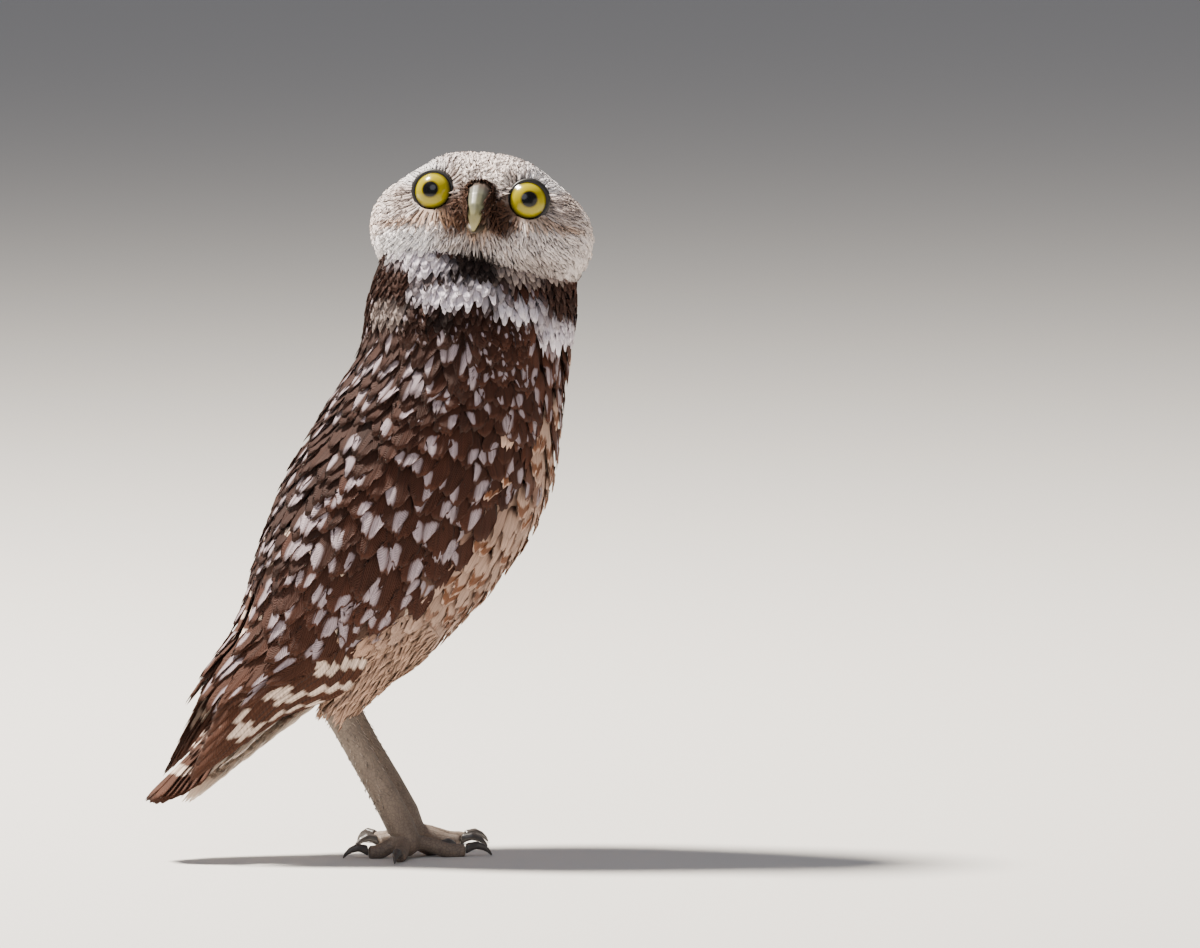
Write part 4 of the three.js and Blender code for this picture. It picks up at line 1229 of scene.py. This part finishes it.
# %% Horn, skin and claw materials
def horn_finish():
    """Satin horn that runs from dark grey at the root through grey-green to a pale tip."""
    made, put, surface = finish("grey-green keratin bill horn")
    place = put("TexCoord").outputs["Object"]
    root, axis = tuple(placed(in_head([22.5, 0, 1]))), tuple(HEAD @ np.array([0.35, 0, -0.94]))
    along = put("VectorMath DOT_PRODUCT", put("VectorMath SUBTRACT", place, root), axis)
    streak = put("TexNoise", {"Vector": place, "Scale": across(2.63), "Detail": 4})
    share = put("Math ADD", put("Math MULTIPLY", along.outputs["Value"], across(18)),
                put("Math MULTIPLY_ADD", streak, 0.16, -0.08))
    stops = ((0.02, "#3f332c"), (0.14, "#4c433b"), (0.25, "#535348"), (0.6, "#6b6b50"),
             (0.9, "#938958"))
    wire(surface, {
        "Base Color": put("ValToRGB", share, stops=stops), "Roughness": 0.38, "IOR": 1.54,
        "Normal": put("Bump", {"Strength": 0.15, "Distance": 0.2 * MM, "Height": streak}),
    })
    return made


def scaly_finish():
    """Dull skin of small plates, some 1 mm across, with darker lines between them."""
    made, put, surface = finish("scaly grey-brown shank skin")
    place = put("TexCoord").outputs["Object"]
    plates = put("TexVoronoi", {"Vector": place, "Scale": across(1.11)}, feature="DISTANCE_TO_EDGE")
    tint = put("TexNoise", {"Vector": place, "Scale": across(6.25), "Detail": 4})
    mix = put("Mix", {0: tint, 6: (*linear("#57493f"), 1), 7: (*linear("#877769"), 1)},
              data_type="RGBA")
    crack = put("MapRange", plates, 0.0, 0.12, 0.62, 1.0)
    wire(surface, {
        "Base Color": put("VectorMath SCALE", {0: mix.outputs[2], 3: crack}), "Roughness": 0.62,
        "Normal": put("Bump", {"Strength": 0.6, "Distance": 0.3 * MM, "Height": crack}),
    })
    return made


def claw_finish(name, code, roughness):
    """Dense dark horn or skin, clouded lighter and darker every 2 mm."""
    made, put, surface = finish(name)
    place = put("TexCoord").outputs["Object"]
    cloud = put("TexNoise", {"Vector": place, "Scale": across(2), "Detail": 3})
    mix = put("Mix", {0: cloud, 6: (*linear(code) * 0.7, 1), 7: (*linear(code) * 1.5, 1)},
              data_type="RGBA")
    wire(surface, {
        "Base Color": mix.outputs[2], "Roughness": roughness,
        "Normal": put("Bump", {"Strength": 0.1, "Distance": 0.2 * MM, "Height": cloud}),
    })
    return made


def skin_finish():
    """Matt down in the colour of the feathers over it, so that gaps don't show."""
    made, put, surface = finish("downy skin under the coat")
    place = put("TexCoord").outputs["Object"]
    down = put("TexNoise", {"Vector": place, "Scale": across(0.833), "Detail": 3})
    grain = put("Math MULTIPLY_ADD", down, 0.5, 0.7)
    tone = put("VectorMath SCALE", {0: put("Attribute", attribute_name="ground"), 3: grain})
    wire(surface, {
        "Base Color": tone, "Roughness": 0.9,
        "Normal": put("Bump", {"Strength": 0.5, "Distance": 0.4 * MM, "Height": down}),
    })
    return made


IRIS, HORN, SCALY, DOWN = eye_finish(), horn_finish(), scaly_finish(), skin_finish()
CLAW = claw_finish("dark keratin claw", "#3b3633", 0.35)
LID = claw_finish("bare black lid skin", "#171412", 0.45)
# The lower bill's horn is painted dark as the shade under the upper bill.
LOWER_BILL_PAINTED_SHADE = claw_finish("lower bill horn painted dark as shade", "#40362a", 0.5)
print("materials:", [m.name for m in bpy.data.materials])

# %% [markdown]
# ## Bristles on the shanks
# Pale hair-like feathers stand off the shank, palest along its rear edge. They are laid like
# the other feathers, but so sparsely that the scales show between them.

# %% Shank bristles
for name, side in SIDES.items():
    roots = scatter((-3, 40), ROUND, lambda a: 2.0 + a / 30, 0.62, jitter=0.4)
    count = len(roots)
    rear = np.maximum(0, -side * np.sin(roots[:, 1])) ** 4
    lay(
        "shank_bristles_" + name, leg_surface(side, 1, lambda along: SHANK_RADIUS), HAIR_VANE, roots,
        length=rng.uniform(2.2, 3.6, count), width=0.45, turn=rng.normal(0, 0.2, count),
        root_lift=-0.5 - 0.8 * rear, tip_lift=rng.uniform(-0.1, 0.3, count) - 0.2 * rear,
        thick=0.12, taper=0.9, ground=varied(
            blend(np.tile(linear("#a39488"), (count, 1)), linear("#ded2c4"), rear), count, 0.12),
        unwrap=leg_unwrap,
    )

# %% [markdown]
# ## What each piece is
# Each piece gets its finish and rides on the one still body, and the solids that it stands
# for are hidden.

# %% Materials, bodies and the solids that each piece stands for
ROLES = {
    "skin": (DOWN, "face_feather", ("neck", "torso", "head", "thigh_left", "thigh_right")),
    "neck_feathers": (CONTOUR, "brown_feather", ("neck",)),
    "mantle_feathers": (CONTOUR, "brown_feather", ("torso",)),
    "breast_feathers": (CONTOUR, "pale_feather", ("torso",)),
    "vent_feathers": (CONTOUR, "pale_feather", ("torso",)),
    "head_feathers": (CONTOUR, "face_feather", ("head",)),
    "face_feathers": (CONTOUR, "face_feather", ("head",)),
    "bill_bristles": (CONTOUR, "face_feather", ("head",)),
    "undertail_coverts": (CONTOUR, "pale_feather", ("tail",)),
    "uppertail_coverts": (CONTOUR, "brown_feather", ("tail",)),
    "tail_feathers": (FLIGHT, "brown_feather", ("tail",)),
    "bill_top": (HORN, "horn", ("bill_upper",)),
    "bill_bottom": (LOWER_BILL_PAINTED_SHADE, "horn", ("bill_lower",)),
}
for side in SIDES:
    ROLES[f"wing_{side}_coverts"] = (CONTOUR, "spotted_feather", (f"wing_{side}",))
    ROLES[f"wing_{side}_flight"] = (FLIGHT, "spotted_feather", (f"wing_{side}",))
    ROLES[f"thigh_feathers_{side}"] = (CONTOUR, "pale_feather", (f"thigh_{side}",))
    ROLES[f"shank_bristles_{side}"] = (CONTOUR, "shank_feather", (f"tarsus_{side}",))
    ROLES[f"shank_{side}"] = (SCALY, "toe_skin", (f"tarsus_{side}", f"foot_{side}"))
    ROLES[f"eyeball_{side}"] = (IRIS, "eye", (f"eye_{side}",))
    ROLES[f"lid_{side}"] = (LID, "face_feather", ("head",))
    for toe in TOES:
        ROLES[f"talon_{toe}_{side}"] = (CLAW, "claw_horn", (f"claw_{toe}_{side}",))
for name, (look, slot, nodes) in ROLES.items():
    piece = bpy.data.objects[name]
    piece.data.materials.clear()
    piece.data.materials.append(look)
    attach(piece, "root")
    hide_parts(*nodes)

# %% [markdown]
# ## Floor, light and camera
# A pale floor, a broad soft key from behind on the left that rims the back and crown, and a
# large fill from the camera's side. The camera has a long lens, as bird pictures do.

# %% Stage
bpy.ops.object.select_all(action="DESELECT")
bpy.ops.mesh.primitive_plane_add(size=40)
floor = bpy.context.object
floor.name = "floor"
made, _, surface = finish("pale studio floor")
wire(surface, {"Base Color": (*linear("#d8d6d2"), 1), "Roughness": 0.85})
floor.data.materials.append(made)

# The photo's pixels: its width, its middle, and where the origin is; one is 0.314 mm.
PHOTO_WIDTH, PHOTO_MIDDLE, ORIGIN_PIXEL = 1200, (600, 474), (385, 853)
PIXEL = 0.314 * MM
SENSOR, DISTANCE = 36, 4.19  # the sensor's width in mm, and m from the owl
# The camera's axes: its right, its top, and back from the owl to it.
RIGHT, UP, BACK = Vector(VIEW_RIGHT), Vector((0.0239, 0.0656, 0.9976)), Vector(VIEW_BACK)
aim = Vector(placed([0, 0, 0])) + RIGHT * (PHOTO_MIDDLE[0] - ORIGIN_PIXEL[0]) * PIXEL
aim += UP * (ORIGIN_PIXEL[1] - PHOTO_MIDDLE[1]) * PIXEL
bpy.ops.object.camera_add()
camera = bpy.context.object
camera.matrix_world = Matrix.Translation(aim + BACK * DISTANCE) @ Matrix(
    (RIGHT, UP, BACK)).transposed().to_4x4()
camera.data.lens = SENSOR * DISTANCE / (PHOTO_WIDTH * PIXEL)
camera.data.clip_end = 100
bpy.context.scene.camera = camera
print("camera at, m:", [round(c, 3) for c in camera.location])


def soft_light(name, place, power, size, code):
    bpy.ops.object.light_add(type="AREA", location=place)
    lamp = bpy.context.object
    lamp.name = name
    lamp.data.shape = "DISK"
    lamp.data.energy, lamp.data.size = power, size
    lamp.data.color = tuple(linear(code))
    lamp.rotation_euler = (Vector((0, 0, 0.12)) - Vector(place)).to_track_quat("-Z", "Y").to_euler()


soft_light("key", (-0.8, 0.75, 2.1), 270, 0.45, "#fff6ea")
soft_light("fill", (-1.6, -2.2, 1.9), 22, 1.8, "#eef1ff")
soft_light("bounce", (0.9, -1.3, 0.12), 5, 1.2, "#fff2e4")
world = bpy.data.worlds.new("studio")
world.use_nodes = True
wire(world.node_tree.nodes["Background"], {0: (*linear("#cfd0d8"), 1), 1: 0.36})
bpy.context.scene.world = world
